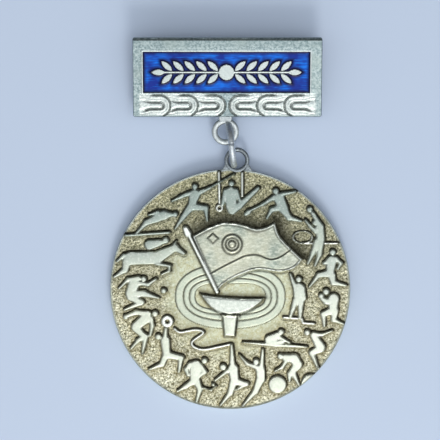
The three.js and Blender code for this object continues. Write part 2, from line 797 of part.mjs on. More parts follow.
function needle() {
  const half = eyeThickness / 2;
  const eye = disc(hingeX, pinHeightOnBar, eyeRadius, -pinDrop - half, -pinDrop + half, 20);
  const hole = disc(hingeX, pinHeightOnBar, rivetShank + runGap, -pinDrop - 1, -pinDrop + 1, 16);
  const start = rivetShank + 0.4;
  const profile = [
    [0, start],
    [needleRadius, start],
    [needleRadius, needleLength - needlePoint],
    [0, needleLength],
  ].map(([r, along]) => new THREE.Vector2(r, along));
  const wire = new THREE.LatheGeometry(profile, 10);
  wire.rotateZ(-Math.PI / 2);
  wire.translate(hingeX, pinHeightOnBar, -pinDrop);
  return union([eye, solid(wire)]).subtract(hole);
}

// A strip rolled round the needle, open towards the bar's lower edge, on a web from the base.
function catchHook() {
  const shape = new THREE.Shape();
  const from = Math.PI + catchMouth / 2;
  const to = 3 * Math.PI - catchMouth / 2;
  shape.absarc(0, 0, catchOuter, from, to, false);
  shape.absarc(0, 0, catchInner, to, from, true);
  const webTop = pinDrop + baseBottom - seatGap;
  const web = rectangle(0.35, catchInner, 0.35 + catchWall + 0.2, webTop);
  const foot = rectangle(-0.9, webTop - 0.35, 1.4, webTop);
  const solids = [shape, web, foot].map((outline) => prism(outline, -catchLength / 2, catchLength / 2, 20));
  // The section is drawn with X up the bar and Y towards the bar's back, then stood along the bar.
  const turned = union(solids).rotate([90, 0, 90]);
  return turned.translate([catchX, pinHeightOnBar, -pinDrop]);
}

// ---------------------------------------------------------------- jump ring
class RingPath extends THREE.Curve {
  getPoint(t, target = new THREE.Vector3()) {
    const angle = Math.PI / 2 + ringSplit / 2 + t * (2 * Math.PI - ringSplit);
    return target.set(0, ringRadius * Math.cos(angle), ringRadius * Math.sin(angle));
  }
}

function jumpRing() {
  const section = new THREE.Shape();
  section.absarc(0, 0, ringWire, 0, 2 * Math.PI, false);
  const geometry = new THREE.ExtrudeGeometry(section, {
    steps: ringSteps,
    extrudePath: new RingPath(),
    curveSegments: ringHalfSides,
  });
  return solid(geometry);
}

// ---------------------------------------------------------------- assembly
const bar = new THREE.Group();
bar.position.set(barCentreX, barEdgeY, barRise);
bar.rotation.x = barTilt;
bar.add(piece("bar_plate", barPlate(), barSilver));
bar.add(piece("enamel_fill", enamelFill(), blueEnamel));
bar.add(piece("pin_base", pinBase(), pinSteel));
bar.add(piece("catch_hook", catchHook(), pinSteel));
bar.add(piece("rivet_left", fixingRivet(-fixingX), rivetAluminium));
bar.add(piece("rivet_right", fixingRivet(fixingX), rivetAluminium));
bar.add(piece("hinge_rivet", hingeRivet(), rivetAluminium));
bar.add(piece("needle", needle(), pinSteel));

const ring = piece("jump_ring", jumpRing(), ringSteel);
ring.position.set(ringX, ringY, ringHeight);
ring.rotation.z = ringLean;

const medal = new THREE.Group();
medal.add(bar, ring, piece("medal_disc", medalDisc(), discSilver));

export default medal;
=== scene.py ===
"""Looks of the award medal: struck metal relief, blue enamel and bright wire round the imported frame.

All sizes below are in millimetres in the part's own frame and are turned into metres by MM.
"""
import json
import math

import bpy
import numpy as np
from mathutils import Matrix, Vector


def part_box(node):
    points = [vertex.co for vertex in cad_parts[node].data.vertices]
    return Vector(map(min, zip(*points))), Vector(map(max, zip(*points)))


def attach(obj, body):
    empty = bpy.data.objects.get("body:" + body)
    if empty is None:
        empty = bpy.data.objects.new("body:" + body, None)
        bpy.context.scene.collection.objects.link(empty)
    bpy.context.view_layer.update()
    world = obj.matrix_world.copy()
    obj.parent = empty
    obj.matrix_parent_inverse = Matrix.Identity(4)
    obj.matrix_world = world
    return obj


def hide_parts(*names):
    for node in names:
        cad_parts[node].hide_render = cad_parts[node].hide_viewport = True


MM = 0.001
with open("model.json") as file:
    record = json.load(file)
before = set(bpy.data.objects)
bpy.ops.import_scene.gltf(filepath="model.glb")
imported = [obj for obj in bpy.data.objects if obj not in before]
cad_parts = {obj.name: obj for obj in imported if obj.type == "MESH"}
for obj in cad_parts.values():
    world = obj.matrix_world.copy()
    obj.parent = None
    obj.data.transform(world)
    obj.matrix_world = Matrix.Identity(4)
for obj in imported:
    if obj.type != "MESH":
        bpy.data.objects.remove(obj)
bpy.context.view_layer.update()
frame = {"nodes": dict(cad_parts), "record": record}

# ---- places taken from the frame
DISC_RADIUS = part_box("medal_disc")[1][0] / MM
RECORD = frame["record"]
PIVOT = next(j for j in RECORD["behaviour"]["joints"] if j["name"] == "needle_pivot")
TILT = math.atan2(PIVOT["axis"][1], -PIVOT["axis"][2])

# The bar's frame: X along the bar, Y up the bar from its lower edge, Z out of its face.
PIN_UP = 8.0
PIN_DROP = 2.7
HINGE_X = -10.0
BAR_TURN = Matrix.Rotation(TILT, 4, "X")
BAR_ORIGIN = Vector(PIVOT["pos_m"]) / MM - BAR_TURN @ Vector((HINGE_X, PIN_UP, -PIN_DROP))
BAR_MATRIX = Matrix.Translation(BAR_ORIGIN) @ BAR_TURN

# ---- sizes of the part, with the eyelets' metal drawn a little fuller
FIELD = 2.2
RELIEF = 0.4
DISC_EYE = (1.1, 21.47)
DISC_EYE_HOLE = 1.38
DISC_EYE_WALL = 0.74
DISC_EYE_MIDDLE = 1.9
DISC_EYE_THICKNESS = 0.9

BAR_WIDTH = 31.3
BAR_HEIGHT = 13.2
BAR_THICKNESS = 1.5
PANEL_WIDTH = 27.5
PANEL_HEIGHT = 6.8
PANEL_BOTTOM = 4.1
PANEL_SHIFT = -0.15
PANEL_FLOOR = 0.6
ENAMEL_SINK = 0.12
BAR_EYE = (-0.33, -2.58)
BAR_EYE_HOLE = 1.3
BAR_EYE_WALL = 1.0
BAR_EYE_MIDDLE = 0.625
BAR_EYE_THICKNESS = 0.85

RING_CENTRE = Vector((0.18, 23.88, 3.85))
RING_RADIUS = 3.3
RING_WIRE = 0.55
RING_LEAN = math.radians(8)
RING_SPLIT = math.radians(4)

# ---- small maths
def smoothstep(low, high, value):
    t = np.clip((value - low) / (high - low), 0, 1)
    return t * t * (3 - 2 * t)


def bell(value, width):
    """A smooth bump, 1 where the value is 0."""
    return np.exp(-(value / width) ** 2)


def smooth_max(a, b, blend):
    h = np.clip(0.5 + 0.5 * (a - b) / blend, 0, 1)
    return b + (a - b) * h + blend * h * (1 - h)


def lattice_noise(x, y, cell, seed):
    """Smooth value noise from 0 to 1 with features about one cell wide."""
    rng = np.random.default_rng(seed)
    table = rng.random((256, 256))
    gx = x / cell + 97.3
    gy = y / cell + 61.7
    ix = np.floor(gx).astype(int)
    iy = np.floor(gy).astype(int)
    fx = gx - ix
    fy = gy - iy
    fx = fx * fx * (3 - 2 * fx)
    fy = fy * fy * (3 - 2 * fy)

    def at(i, j):
        return table[(ix + i) % 256, (iy + j) % 256]

    low = at(0, 0) * (1 - fx) + at(1, 0) * fx
    high = at(0, 1) * (1 - fx) + at(1, 1) * fx
    return low * (1 - fy) + high * fy


def stroke_parts(x, y, a, b, start=0, end=0):
    """Distance to the middle line of a tapering stroke, and the stroke's radius there."""
    dx, dy = b[0] - a[0], b[1] - a[1]
    along = ((x - a[0]) * dx + (y - a[1]) * dy) / (dx * dx + dy * dy)
    along = np.clip(along, 0, 1)
    off = np.hypot(x - a[0] - along * dx, y - a[1] - along * dy)
    return off, start + (end - start) * along


def line_distance(x, y, points):
    best = np.full_like(x, 1e9)
    for a, b in zip(points, points[1:]):
        best = np.minimum(best, stroke_parts(x, y, a, b)[0])
    return best


def polygon_distance(x, y, points):
    """Signed distance to a closed outline, negative inside."""
    closed = points + points[:1]
    inside = np.zeros(x.shape, bool)
    for (ax, ay), (bx, by) in zip(closed, closed[1:]):
        crosses = (ay > y) != (by > y)
        slope = (bx - ax) / ((by - ay) if by != ay else 1e-9)
        inside ^= crosses & (x < ax + slope * (y - ay))
    best = line_distance(x, y, closed)
    return np.where(inside, -best, best)


def smooth_line(points, steps=8):
    """A Catmull-Rom curve through the points."""
    last = len(points) - 1
    curve = []
    for i in range(last):
        p = [points[min(max(i + k - 1, 0), last)] for k in range(4)]
        for s in range(steps):
            t = s / steps
            curve.append(tuple(
                0.5 * (2 * p[1][k] + (p[2][k] - p[0][k]) * t
                       + (2 * p[0][k] - 5 * p[1][k] + 4 * p[2][k] - p[3][k]) * t * t
                       + (3 * p[1][k] - p[0][k] - 3 * p[2][k] + p[3][k]) * t ** 3)
                for k in (0, 1)))
    curve.append(points[-1])
    return curve


# ---- relief of the disc
# Each athlete: heads, balls and the like as x, y, radius; limbs as start radius, end radius, points.
ATHLETES = {
    "fencer": ([(-5.9, 17.05, 0.52)], [
        (0.95, 0.62, -5.9, 15.75, -6.45, 14), (0.42, 0.2, -6.9, 15.9, -8.3, 15.3, -9.75, 14.6),
        (0.42, 0.26, -5, 16.1, -3.5, 16.8), (0.22, 0.14, -3.5, 16.8, 0.6, 19.1),
        (0.68, 0.48, -6.1, 13.7, -4.1, 13.5), (0.46, 0.22, -4.1, 13.5, -3.85, 11.4),
        (0.7, 0.2, -6.7, 13.5, -7.9, 11.95, -9.2, 10)]),
    "gymnast": ([(0.2, 17.55, 0.52)], [
        (1.05, 0.95, 0.1, 16, 0.15, 13.9), (0.45, 0.34, -0.8, 16.3, -1.3, 14.1),
        (0.4, 0.32, 1, 16.4, 1.6, 14.7), (0.85, 0.36, 0.3, 13.2, 1.5, 13.9, 4.6, 16.75)]),
    "hockey": ([(7.55, 16.3, 0.56)], [
        (0.95, 0.8, 8.1, 15.1, 8.85, 13.5), (0.4, 0.24, 8.6, 15.8, 10.8, 16.2),
        (0.46, 0.3, 7.3, 15.3, 5.4, 14.1), (0.26, 0.24, 5.4, 14.1, 3.1, 12.95),
        (0.48, 0.38, 3, 12.8, 2.6, 12.5), (0.62, 0.24, 8.2, 13.6, 6.9, 13.2, 6.1, 11.8),
        (0.76, 0.24, 8.9, 13.2, 9.8, 11.9, 11.8, 11.3)]),
    "basketball": ([(13.2, 13.25, 0.54), (14.1, 11.05, 0.52)], [
        (0.36, 0.5, 13.65, 12.7, 14.75, 10.9), (0.42, 0.24, 14.2, 9.6, 13.3, 10.5, 12.5, 11.45),
        (0.78, 0.72, 14.85, 10.3, 15.05, 8.3), (0.66, 0.24, 14.5, 7.9, 13.75, 6, 12.9, 4.2),
        (0.66, 0.24, 15, 7.7, 14.85, 5.8, 14.1, 3.9)]),
    "runner": ([(17.05, 6.1, 0.56)], [
        (0.92, 0.7, 16.85, 4.7, 16.6, 2.8), (0.38, 0.28, 17.6, 5.1, 18.4, 4.3, 17.9, 3.4),
        (0.42, 0.32, 16.4, 4.7, 15.6, 4.3), (0.66, 0.22, 16.3, 2.6, 14.7, 2.3, 13.2, 0.4),
        (0.7, 0.26, 16.85, 2.3, 17.15, 1.1, 19.2, 0.6)]),
    "winner": ([(11.4, 1.6, 0.55)], [
        (0.44, 0.24, 10.7, 0.6, 10, 2.45), (1, 0.9, 11.4, 0.1, 11.45, -1.6),
        (0.46, 0.5, 12, 0.2, 12.2, -1.5), (0.58, 0.28, 10.9, -1.9, 10, -4.6),
        (0.6, 0.3, 11.75, -1.9, 11.6, -4.8)]),
    "boxer": ([(15.95, -0.45, 0.58), (15.15, -1.15, 0.5)], [
        (0.4, 0.6, 15.3, -1.6, 16, -2.1, 17, -2), (0.95, 0.75, 17.2, -1.6, 17.1, -3.3),
        (0.66, 0.5, 16.9, -3.6, 15.5, -4.2), (0.48, 0.24, 15.5, -4.2, 15.65, -6.2),
        (0.66, 0.45, 17.4, -3.6, 17.2, -5.1), (0.42, 0.2, 17.2, -5.1, 18.8, -5.8)]),
    "discus": ([(-12.55, -4.1, 0.56), (-17.4, -4.65, 0.48)], [
        (0.5, 0.34, -13.6, -4.1, -15.7, -3.9, -17.2, -4.5), (0.95, 0.8, -14, -4.8, -15.6, -6.1),
        (0.44, 0.34, -13.2, -4.9, -13, -6.1), (0.38, 0.28, -13, -6.1, -13.35, -7.7),
        (0.72, 0.5, -15.8, -6.4, -14.4, -7.8), (0.5, 0.22, -14.1, -7.9, -14.65, -10.8),
        (0.5, 0.24, -14.4, -7.9, -15.4, -8.6, -16.5, -9.9)]),
    "footballer": ([(-14.45, 1.65, 0.54), (-11.1, -0.3, 0.5)], [
        (0.46, 0.22, -15.3, 1.8, -17, 1.6, -18.5, 0.1), (0.42, 0.24, -15.2, 1, -13.7, 0.75, -12.4, 1.65),
        (1, 0.8, -16, 0.9, -16.7, -0.7), (0.72, 0.55, -16.3, -0.8, -14.4, -0.75),
        (0.55, 0.2, -14.4, -0.75, -11.9, -1.5), (0.7, 0.5, -16.6, -1.3, -14.8, -2.2),
        (0.48, 0.22, -14.8, -2.25, -17.6, -3.45)]),
    "horse": ([], [
        (1.15, 1.1, -16.6, 5.1, -12.3, 5.2), (1, 0.62, -11.6, 5.6, -9.2, 6.9),
        (0.6, 0.34, -9.2, 6.9, -7.75, 5.95), (0.24, 0.14, -9.3, 7.5, -9, 8),
        (0.8, 0.24, -17.2, 4.6, -17.5, 3.2, -19.3, 2), (0.38, 0.22, -17.7, 5.6, -18.8, 4.6),
        (0.34, 0.26, -12.2, 4.2, -10.1, 3.85), (0.26, 0.22, -10.1, 3.85, -10.2, 3, -11.4, 2.45)]),
    "rider": ([(-10.75, 8.1, 0.58)], [
        (0.88, 0.62, -13.45, 7.35, -12, 7.65), (0.5, 0.4, -12, 7.65, -11, 7.9)]),
    "ski_jumper": ([(-9.2, 12.45, 0.5)], [
        (0.26, 0.26, -17.4, 8.9, -10.2, 9.4), (0.85, 0.85, -12, 12.05, -11, 12.3),
        (0.7, 0.4, -11, 12.4, -9.6, 12.4), (0.72, 0.5, -12.3, 11.75, -14, 11.05),
        (0.48, 0.22, -14, 11.05, -15.65, 9.25), (0.3, 0.2, -12, 12.9, -13.6, 12.3)]),
    "lifter": ([(-12, -7.95, 0.55)], [
        (0.32, 0.45, -10.73, -6.6, -10.9, -8.1), (0.82, 0.68, -10.85, -8.6, -10.65, -10.6),
        (0.64, 0.5, -10.3, -11, -8.2, -11.45), (0.46, 0.24, -8.2, -11.45, -8.55, -13.8),
        (0.62, 0.46, -10.8, -11.2, -11.35, -12.5), (0.46, 0.2, -11.35, -12.5, -13.5, -13.4)]),
    "stick_player": ([(-4.3, -11.95, 0.55), (-2.85, -15.9, 0.34)], [
        (1.1, 0.78, -5.75, -12.9, -5.95, -14.9), (0.44, 0.32, -6.7, -12.5, -7.35, -13.4, -7, -14.3),
        (0.48, 0.38, -4.9, -12.9, -4.3, -13.8, -5.2, -14.5),
        (0.62, 0.22, -6.2, -15.4, -7.4, -16.2, -8.75, -17),
        (0.66, 0.26, -5.6, -15.4, -5.05, -16.7, -5.6, -18.7),
        (0.2, 0.18, -4.5, -16.5, -3.2, -16.85, -2.4, -16.2)]),
    "ribbon_gymnast": ([(-1.2, -13, 0.6)], [
        (0.48, 0.26, 0.35, -12.8, 0.2, -9.3), (0.9, 0.72, 0.45, -13.3, 0.7, -15.1),
        (0.38, 0.24, -0.4, -13.6, -2.5, -15.2), (0.66, 0.4, 0.9, -15.4, 2.7, -15.8),
        (0.38, 0.2, 2.7, -15.8, 0.95, -16.8), (0.68, 0.48, 0.5, -15.6, 0, -17.3),
        (0.46, 0.2, 0, -17.3, -1.6, -19.3)]),
    "leaper": ([(4.3, -12.1, 0.56)], [
        (0.46, 0.18, 4.6, -13.1, 2.8, -12.4, 1.5, -10.95), (0.42, 0.24, 5.2, -12.9, 5.4, -10.1),
        (0.78, 0.72, 5, -13.4, 5.1, -15), (0.74, 0.5, 4.95, -15.2, 4.2, -17),
        (0.5, 0.2, 4.2, -17, 2.1, -19.4)]),
    "bowler": ([(8.35, -11.2, 0.54)], [
        (0.62, 0.85, 9.1, -11.35, 10.6, -11.6), (0.85, 0.78, 10.6, -11.6, 11.25, -12.5),
        (0.4, 0.22, 9.3, -12, 8.65, -13, 7.5, -13.65), (0.76, 0.5, 11.1, -12.8, 10, -14.1),
        (0.46, 0.24, 9.9, -14.2, 9.85, -15.3), (0.48, 0.22, 10.5, -14.1, 11.4, -15.9)]),
    "swimmer": ([(12.8, -7.25, 0.54)], [
        (0.62, 0.84, 13.9, -7.8, 15, -9.6), (0.42, 0.18, 13.8, -7.5, 15.3, -7.6, 16.95, -6.95),
        (0.76, 0.5, 15, -9.9, 13.55, -10.6), (0.5, 0.22, 13.6, -10.7, 14.55, -13.1)]),
    "rower": ([(8.45, -7.15, 0.54)], [
        (0.62, 0.8, 7.9, -7.7, 6.5, -8.4), (0.34, 0.24, 8.2, -8, 9.8, -8.9),
        (0.18, 0.38, 2.1, -8.9, 7.5, -9.3), (0.38, 0.2, 7.5, -9.3, 12.7, -9.65),
        (0.4, 0.34, 6.6, -8.9, 8.8, -8.7)]),
}

ROPES = [
    (0.2, (-1.9, 19.4), (-1.8, 14.4)),
    (0.2, (1.98, 19.3), (1.98, 15.5)),
]
# Raised rings: x, y, outer radius, inner radius, and how much the ring is squashed upright.
RINGS = [
    (-1.8, 13.5, 0.66, 0.26, 1.0),
    (-10.5, -5.4, 1.02, 0.3, 1.0),
    (12.05, 8.6, 1.74, 1.42, 0.64),
]
PLATES = [(7.85, -15.9, 1.5), (13.4, -15.7, 1.6)]
PODIUM = [(8.9, -4.75), (11.9, -4.95), (12.1, -5.65), (13.9, -5.8)]
HOOP_LINE = [(12.1, 7.6), (17.8, 7.6)]
RIBBON = smooth_line(
    [(-9.3, -6.6), (-8.3, -7.2), (-5.8, -6.8), (-4.5, -7.3), (-6.3, -8.7), (-6.1, -9.6),
     (-4.5, -10.1), (-1.8, -9.6), (0, -9.2)])

FLAG = (
    smooth_line([(-6.4, 8.8), (-4.6, 9.8), (-2.8, 10.6), (-0.9, 11.1), (1.9, 10.8), (4.1, 10.1),
                 (5.8, 10.3), (7.4, 11.1)])
    + smooth_line([(7.5, 10.9), (8.2, 8.9), (10, 6.9), (12.1, 4.9)])
    + smooth_line([(12, 4.8), (10.6, 3.4), (8.2, 2.8), (4.7, 3.2), (1.9, 2.4), (-0.9, 0.9), (-2.2, -0.5)])
)
FLAG_BAND = smooth_line(
    [(-3.7, 2.4), (-1.4, 3.7), (0.8, 4.8), (2.6, 5.6), (4.6, 5.7), (6.6, 5), (8.3, 5.4), (10.2, 6.7)])
POLE = [(-6.9, 9), (-2.2, -0.5)]
POLE_RADIUS = 0.3
KNOB = ((-7.05, 9.2), (-7.45, 10.05), 0.64)
BADGE = (0.3, 7.5)
BADGE_RING = 1.35
BADGE_LINE = 0.26
BADGE_SPOT = 0.55
DIAMOND = (-2.9, 8.5)
DIAMOND_REACH = 0.8

TRACK_CENTRE = (0, -1.2)
TRACK_REACH = (9.12, 5.35)
TRACK_POWER = 2.3  # above 2 the oval is fuller than an ellipse
# Lanes from the outside in: start and width of each raised lane.
LANES = [(0, 1.25), (1.37, 0.9), (2.38, 0.85)]

BOWL = (
    smooth_line([(-5.1, -0.75), (-2.6, -1.15), (0.2, -1.4), (3, -1.5), (5.6, -1.5)])
    + smooth_line([(5.6, -1.6), (4.6, -2.6), (3, -3.6), (0.9, -4.15), (-1.4, -4),
                   (-3.4, -2.9), (-5, -0.9)])
)
STEM = [(-1.3, -4.3), (1.15, -4.4), (0.75, -7.9), (-1, -7.8)]
COLLAR = [(-1.4, -4.4), (1.3, -4.5)]
COLLAR_RADIUS = 0.24


def limb_height(off, radius):
    """Rounded relief that is taller where the limb is thicker, and its signed distance."""
    inside = np.clip(1 - (off / radius) ** 2, 0, 1)
    return (0.86 + 0.14 * np.sqrt(inside)) * smoothstep(-0.03, 0.13, radius - off), off - radius


def athletes_field(x, y):
    """Height from 0 to 1 and signed distance of all the athletes together."""
    height = np.zeros_like(x)
    distance = np.full_like(x, 9.0)
    for rounds, limbs in ATHLETES.values():
        own = np.full_like(x, 9.0)
        top = np.zeros_like(x)
        for start, end, *flat in limbs:
            points = list(zip(flat[::2], flat[1::2]))
            last = len(points) - 1
            for i in range(last):
                r0 = start + (end - start) * i / last
                r1 = start + (end - start) * (i + 1) / last
                h, d = limb_height(*stroke_parts(x, y, points[i], points[i + 1], r0, r1))
                top = np.maximum(top, h)
                own = -smooth_max(-own, -d, 0.3)
        top = np.maximum(top, 0.86 * smoothstep(-0.03, 0.13, -own))
        # Heads and balls keep a clear neck, so they aren't blended in.
        for cx, cy, radius in rounds:
            off = np.hypot(x - cx, y - cy)
            h, d = limb_height(off, radius)
            top = np.maximum(top, h)
            own = np.minimum(own, d)
        height = np.maximum(height, top)
        distance = np.minimum(distance, own)
    return height, distance


def raise_to(state, name, values):
    state[name] = np.maximum(state[name], values)


def add_shape(state, distance, height, edge=0.14, crown=0.0):
    """Lays a raised shape over the relief: state holds height and distance."""
    lift = height * smoothstep(-0.04, edge, -distance)
    lift = lift + crown * smoothstep(0, 0.9, -distance) * (distance < 0)
    raise_to(state, "height", lift)
    state["distance"] = np.minimum(state["distance"], distance)


def add_line(state, distance, height, edge):
    """A raised shape that also gets a painted highlight, partly polish."""
    add_shape(state, distance, height, edge)
    raise_to(state, "line", smoothstep(0.05, -0.05, distance))


def cut_line(state, distance, width, depth):
    state["height"] -= depth * bell(distance, width)
    raise_to(state, "groove", bell(distance, width * 1.1))


def disc_relief(x, y):
    """Height above the field in millimetres, with the masks that colour it."""
    state = {
        "height": np.zeros_like(x),
        "distance": np.full_like(x, 9.0),
        "groove": np.zeros_like(x),
        "line": np.zeros_like(x),
    }
    # Track lanes, flat and low.
    cx, cy = TRACK_CENTRE
    rx, ry = TRACK_REACH
    ax = np.abs(x - cx) / rx + 1e-6
    ay = np.abs(y - cy) / ry + 1e-6
    q = (ax ** TRACK_POWER + ay ** TRACK_POWER) ** (1 / TRACK_POWER)
    gradient = np.hypot(ax ** (TRACK_POWER - 1) / rx, ay ** (TRACK_POWER - 1) / ry)
    gradient = gradient / q ** (TRACK_POWER - 1)
    depth_in = (1 - q) / gradient
    lane_mask = np.zeros_like(x)
    for start, width in LANES:
        d = np.abs(depth_in - start - width / 2) - width / 2
        add_shape(state, d, 0.08, edge=0.12)
        lane_mask = np.maximum(lane_mask, smoothstep(0.03, -0.06, d))
        cut_line(state, d - 0.04, 0.07, 0.04)
    state["distance"] = np.full_like(x, 9.0)

    # Flag: a rolling cloth with a raised hem.
    flag = polygon_distance(x, y, FLAG)
    under = smoothstep(0.35, -0.02, flag)
    state["height"] *= 1 - under
    state["groove"] *= 1 - under
    lane_mask *= 1 - smoothstep(0.1, 0, flag)
    wave = 0.07 * np.sin(x * 0.75 + y * 0.42 + 1.1) * smoothstep(0, 1.2, -flag)
    cloth = (0.34 + wave) * smoothstep(0, 0.2, -flag)
    hem = bell(flag + 0.17, 0.14) * (flag < 0)
    stitch = bell(flag + 0.44, 0.09)
    raise_to(state, "height", cloth + 0.06 * hem - 0.06 * stitch)
    raise_to(state, "groove", 0.7 * stitch)
    state["distance"] = np.minimum(state["distance"], flag)
    band = line_distance(x, y, FLAG_BAND)
    ridge = line_distance(x, y + 0.22, FLAG_BAND)
    on_flag = smoothstep(0, 0.3, -flag)
    fold = bell(ridge, 0.14) * on_flag
    state["height"] += 0.06 * fold
    state["height"] -= 0.1 * bell(band, 0.11) * on_flag
    raise_to(state, "groove", bell(band, 0.13) * on_flag)
    badge = np.hypot(x - BADGE[0], y - BADGE[1])
    ring = np.abs(badge - BADGE_RING) - BADGE_LINE
    diamond = np.abs(x - DIAMOND[0]) * 0.9 + np.abs(y - DIAMOND[1]) - DIAMOND_REACH
    for d in (ring, badge - BADGE_SPOT, diamond):
        state["height"] += 0.16 * smoothstep(0.02, -0.14, d)
        mark = bell(d - 0.08, 0.11)
        raise_to(state, "groove", mark)
        state["height"] -= 0.07 * mark

    # Torch.
    bowl = polygon_distance(x, y, BOWL)
    stem = polygon_distance(x, y, STEM)
    hidden = smoothstep(0.3, 0, np.minimum(bowl, stem))
    state["height"] *= 1 - hidden
    state["groove"] *= 1 - hidden
    # The bowl swells towards its rim, so that its flank faces the stem.
    swell = 0.2 + 0.2 * smoothstep(-4.3, -1.6, y)
    add_shape(state, bowl, swell, edge=0.22)
    add_shape(state, stem, 0.24, edge=0.16, crown=0.04)
    add_shape(state, line_distance(x, y, COLLAR) - COLLAR_RADIUS, 0.42, edge=0.2)
    rim_groove = bell(bowl + 0.34, 0.08) * smoothstep(-2.5, -1.8, y)
    raise_to(state, "groove", 0.6 * rim_groove)
    state["height"] -= 0.05 * rim_groove
    # A dark outline round the bowl and the stem, with no cut under it: patina and painted shade.
    for side in (bowl, stem):
        line = bell(side - 0.08, 0.12)
        raise_to(state, "groove", 0.85 * line)

    # Pole and knob stand over the flag.
    pole = line_distance(x, y, POLE)
    add_shape(state, pole - POLE_RADIUS, 0.46, edge=0.08)
    knob, knob_radius = stroke_parts(x, y, KNOB[0], KNOB[1], KNOB[2], KNOB[2] - 0.12)
    # A dark outline beside the pole, patina and painted shade; grooves under the pole are cleared.
    beside = bell(pole - 0.43, 0.12) * smoothstep(0, 0.2, knob - knob_radius)
    state["groove"] = np.maximum(state["groove"] * smoothstep(0.22, 0.34, pole), beside)
    add_shape(state, knob - knob_radius, 0.46, edge=0.2)
    staff = np.minimum(pole - POLE_RADIUS, knob - knob_radius)
    # Painted highlight, partly polish, on the pole, the knob, the flag's hem and its fold's ridge.
    raise_to(state, "line", smoothstep(0.05, -0.05, staff))
    raise_to(state, "line", np.maximum(hem, 0.8 * fold) * (pole > POLE_RADIUS))

    # Athletes and their gear.
    body, body_distance = athletes_field(x, y)
    raise_to(state, "height", RELIEF * body)
    state["distance"] = np.minimum(state["distance"], body_distance)
    for radius, a, b in ROPES:
        add_line(state, line_distance(x, y, [a, b]) - radius, 0.22, 0.1)
    for px, py, outer, inner, squash in RINGS:
        off = np.hypot(x - px, (y - py) / squash)
        add_line(state, np.abs(off - (outer + inner) / 2) - (outer - inner) / 2, 0.26, 0.12)
    for px, py, radius in PLATES:
        add_shape(state, np.hypot(x - px, y - py) - radius, 0.34, edge=0.14, crown=0.05)
    for line, radius in ((PODIUM, 0.2), (HOOP_LINE, 0.17), (RIBBON, 0.2)):
        add_line(state, line_distance(x, y, line) - radius, 0.2, 0.1)

    # Bodies stand in front of their gear, so a line doesn't shine through them.
    state["line"] *= smoothstep(-0.02, 0.1, body_distance)
    relief = smoothstep(0.04, -0.08, state["distance"])
    outside = np.clip(state["distance"], 0, 9)
    state["bright"] = smoothstep(0.1, -0.2, bowl)
    state["flag"] = np.clip(flag, 0, 9)
    state["bowl"] = np.clip(bowl, 0, 9)
    state["cloth"] = smoothstep(-0.3, -0.45, flag) * smoothstep(0.4, 0.55, pole)
    return state, relief, lane_mask, outside


def disc_heights(x, y):
    state, relief, lanes, outside = disc_relief(x, y)
    radius = np.hypot(x, y)
    pebble = lattice_noise(x, y, 0.3, 3) * 0.5 + lattice_noise(x, y, 0.19, 4) * 0.5
    rough = smoothstep(9.0, 13.0, radius)
    ground = 1 - np.clip(relief + lanes, 0, 1)
    height = state["height"] + (pebble - 0.5) * (0.02 + 0.1 * rough) * ground
    state["rough"] = rough
    # A shallow moat hugs every raised shape.
    height -= 0.07 * bell(outside - 0.1, 0.16) * (1 - relief)
    edge = smoothstep(DISC_RADIUS - 0.35, DISC_RADIUS - 0.12, radius)
    height = height * (1 - edge) + 0.1 * edge * (1 - relief) + 0.18 * edge * relief
    return height, state, relief, lanes, outside


# ---- mesh building
def place_object(name, data):
    obj = bpy.data.objects.new(name, data)
    bpy.context.scene.collection.objects.link(obj)
    return obj


def new_object(name, vertices, faces, matrix=None):
    mesh = bpy.data.meshes.new(name)
    points = np.asarray(vertices, float)
    if matrix is not None:
        m = np.array(matrix)
        points = points @ m[:3, :3].T + m[:3, 3]
    mesh.from_pydata((points * MM).tolist(), [], faces)
    mesh.validate()
    mesh.update()
    return place_object(name, mesh)


def set_masks(obj, **masks):
    """Stores each mask on the mesh's first points, which are the grid's, and 0 on the rest."""
    for name, values in masks.items():
        layer = obj.data.attributes.new(name, "FLOAT", "POINT")
        padded = np.zeros(len(obj.data.vertices), np.float32)
        padded[: values.size] = values.ravel()
        layer.data.foreach_set("value", padded)


def shade(obj, angle=35):
    mesh = obj.data
    mesh.polygons.foreach_set("use_smooth", [True] * len(mesh.polygons))
    mesh.set_sharp_from_angle(angle=math.radians(angle))


def grid_faces(rows, columns):
    index = np.arange(rows * columns).reshape(rows, columns)
    quads = np.stack([index[:-1, :-1], index[:-1, 1:], index[1:, 1:], index[1:, :-1]], -1)
    return quads.reshape(-1, 4).tolist()


def rim_loop(rows, columns):
    """Vertex numbers round a grid's border, anticlockwise."""
    index = np.arange(rows * columns).reshape(rows, columns)
    return np.concatenate([index[0, :-1], index[:-1, -1], index[-1, :0:-1], index[:0:-1, 0]])


def flat_grid(left, right, low, high, spacing):
    columns = int((right - left) / spacing)
    rows = int((high - low) / spacing)
    return np.meshgrid(np.linspace(left, right, columns), np.linspace(low, high, rows))


def with_border(x, y, z):
    """A grid's points, and those on its border in order."""
    top = np.stack([x, y, z], -1)
    return top, top.reshape(-1, 3)[rim_loop(*x.shape)]


def skirted_grid(top, rings):
    """A grid of points closed below by rings of the same count as its border."""
    rows, columns = top.shape[:2]
    vertices = top.reshape(-1, 3).tolist()
    faces = grid_faces(rows, columns)
    above = rim_loop(rows, columns).tolist()
    for ring in rings:
        start = len(vertices)
        vertices.extend(ring.tolist())
        below = list(range(start, start + len(ring)))
        for i in range(len(ring)):
            j = (i + 1) % len(ring)
            faces.append([above[i], below[i], below[j], above[j]])
        above = below
    faces.append(above[::-1])
    return vertices, faces


DISC_CELLS = 290


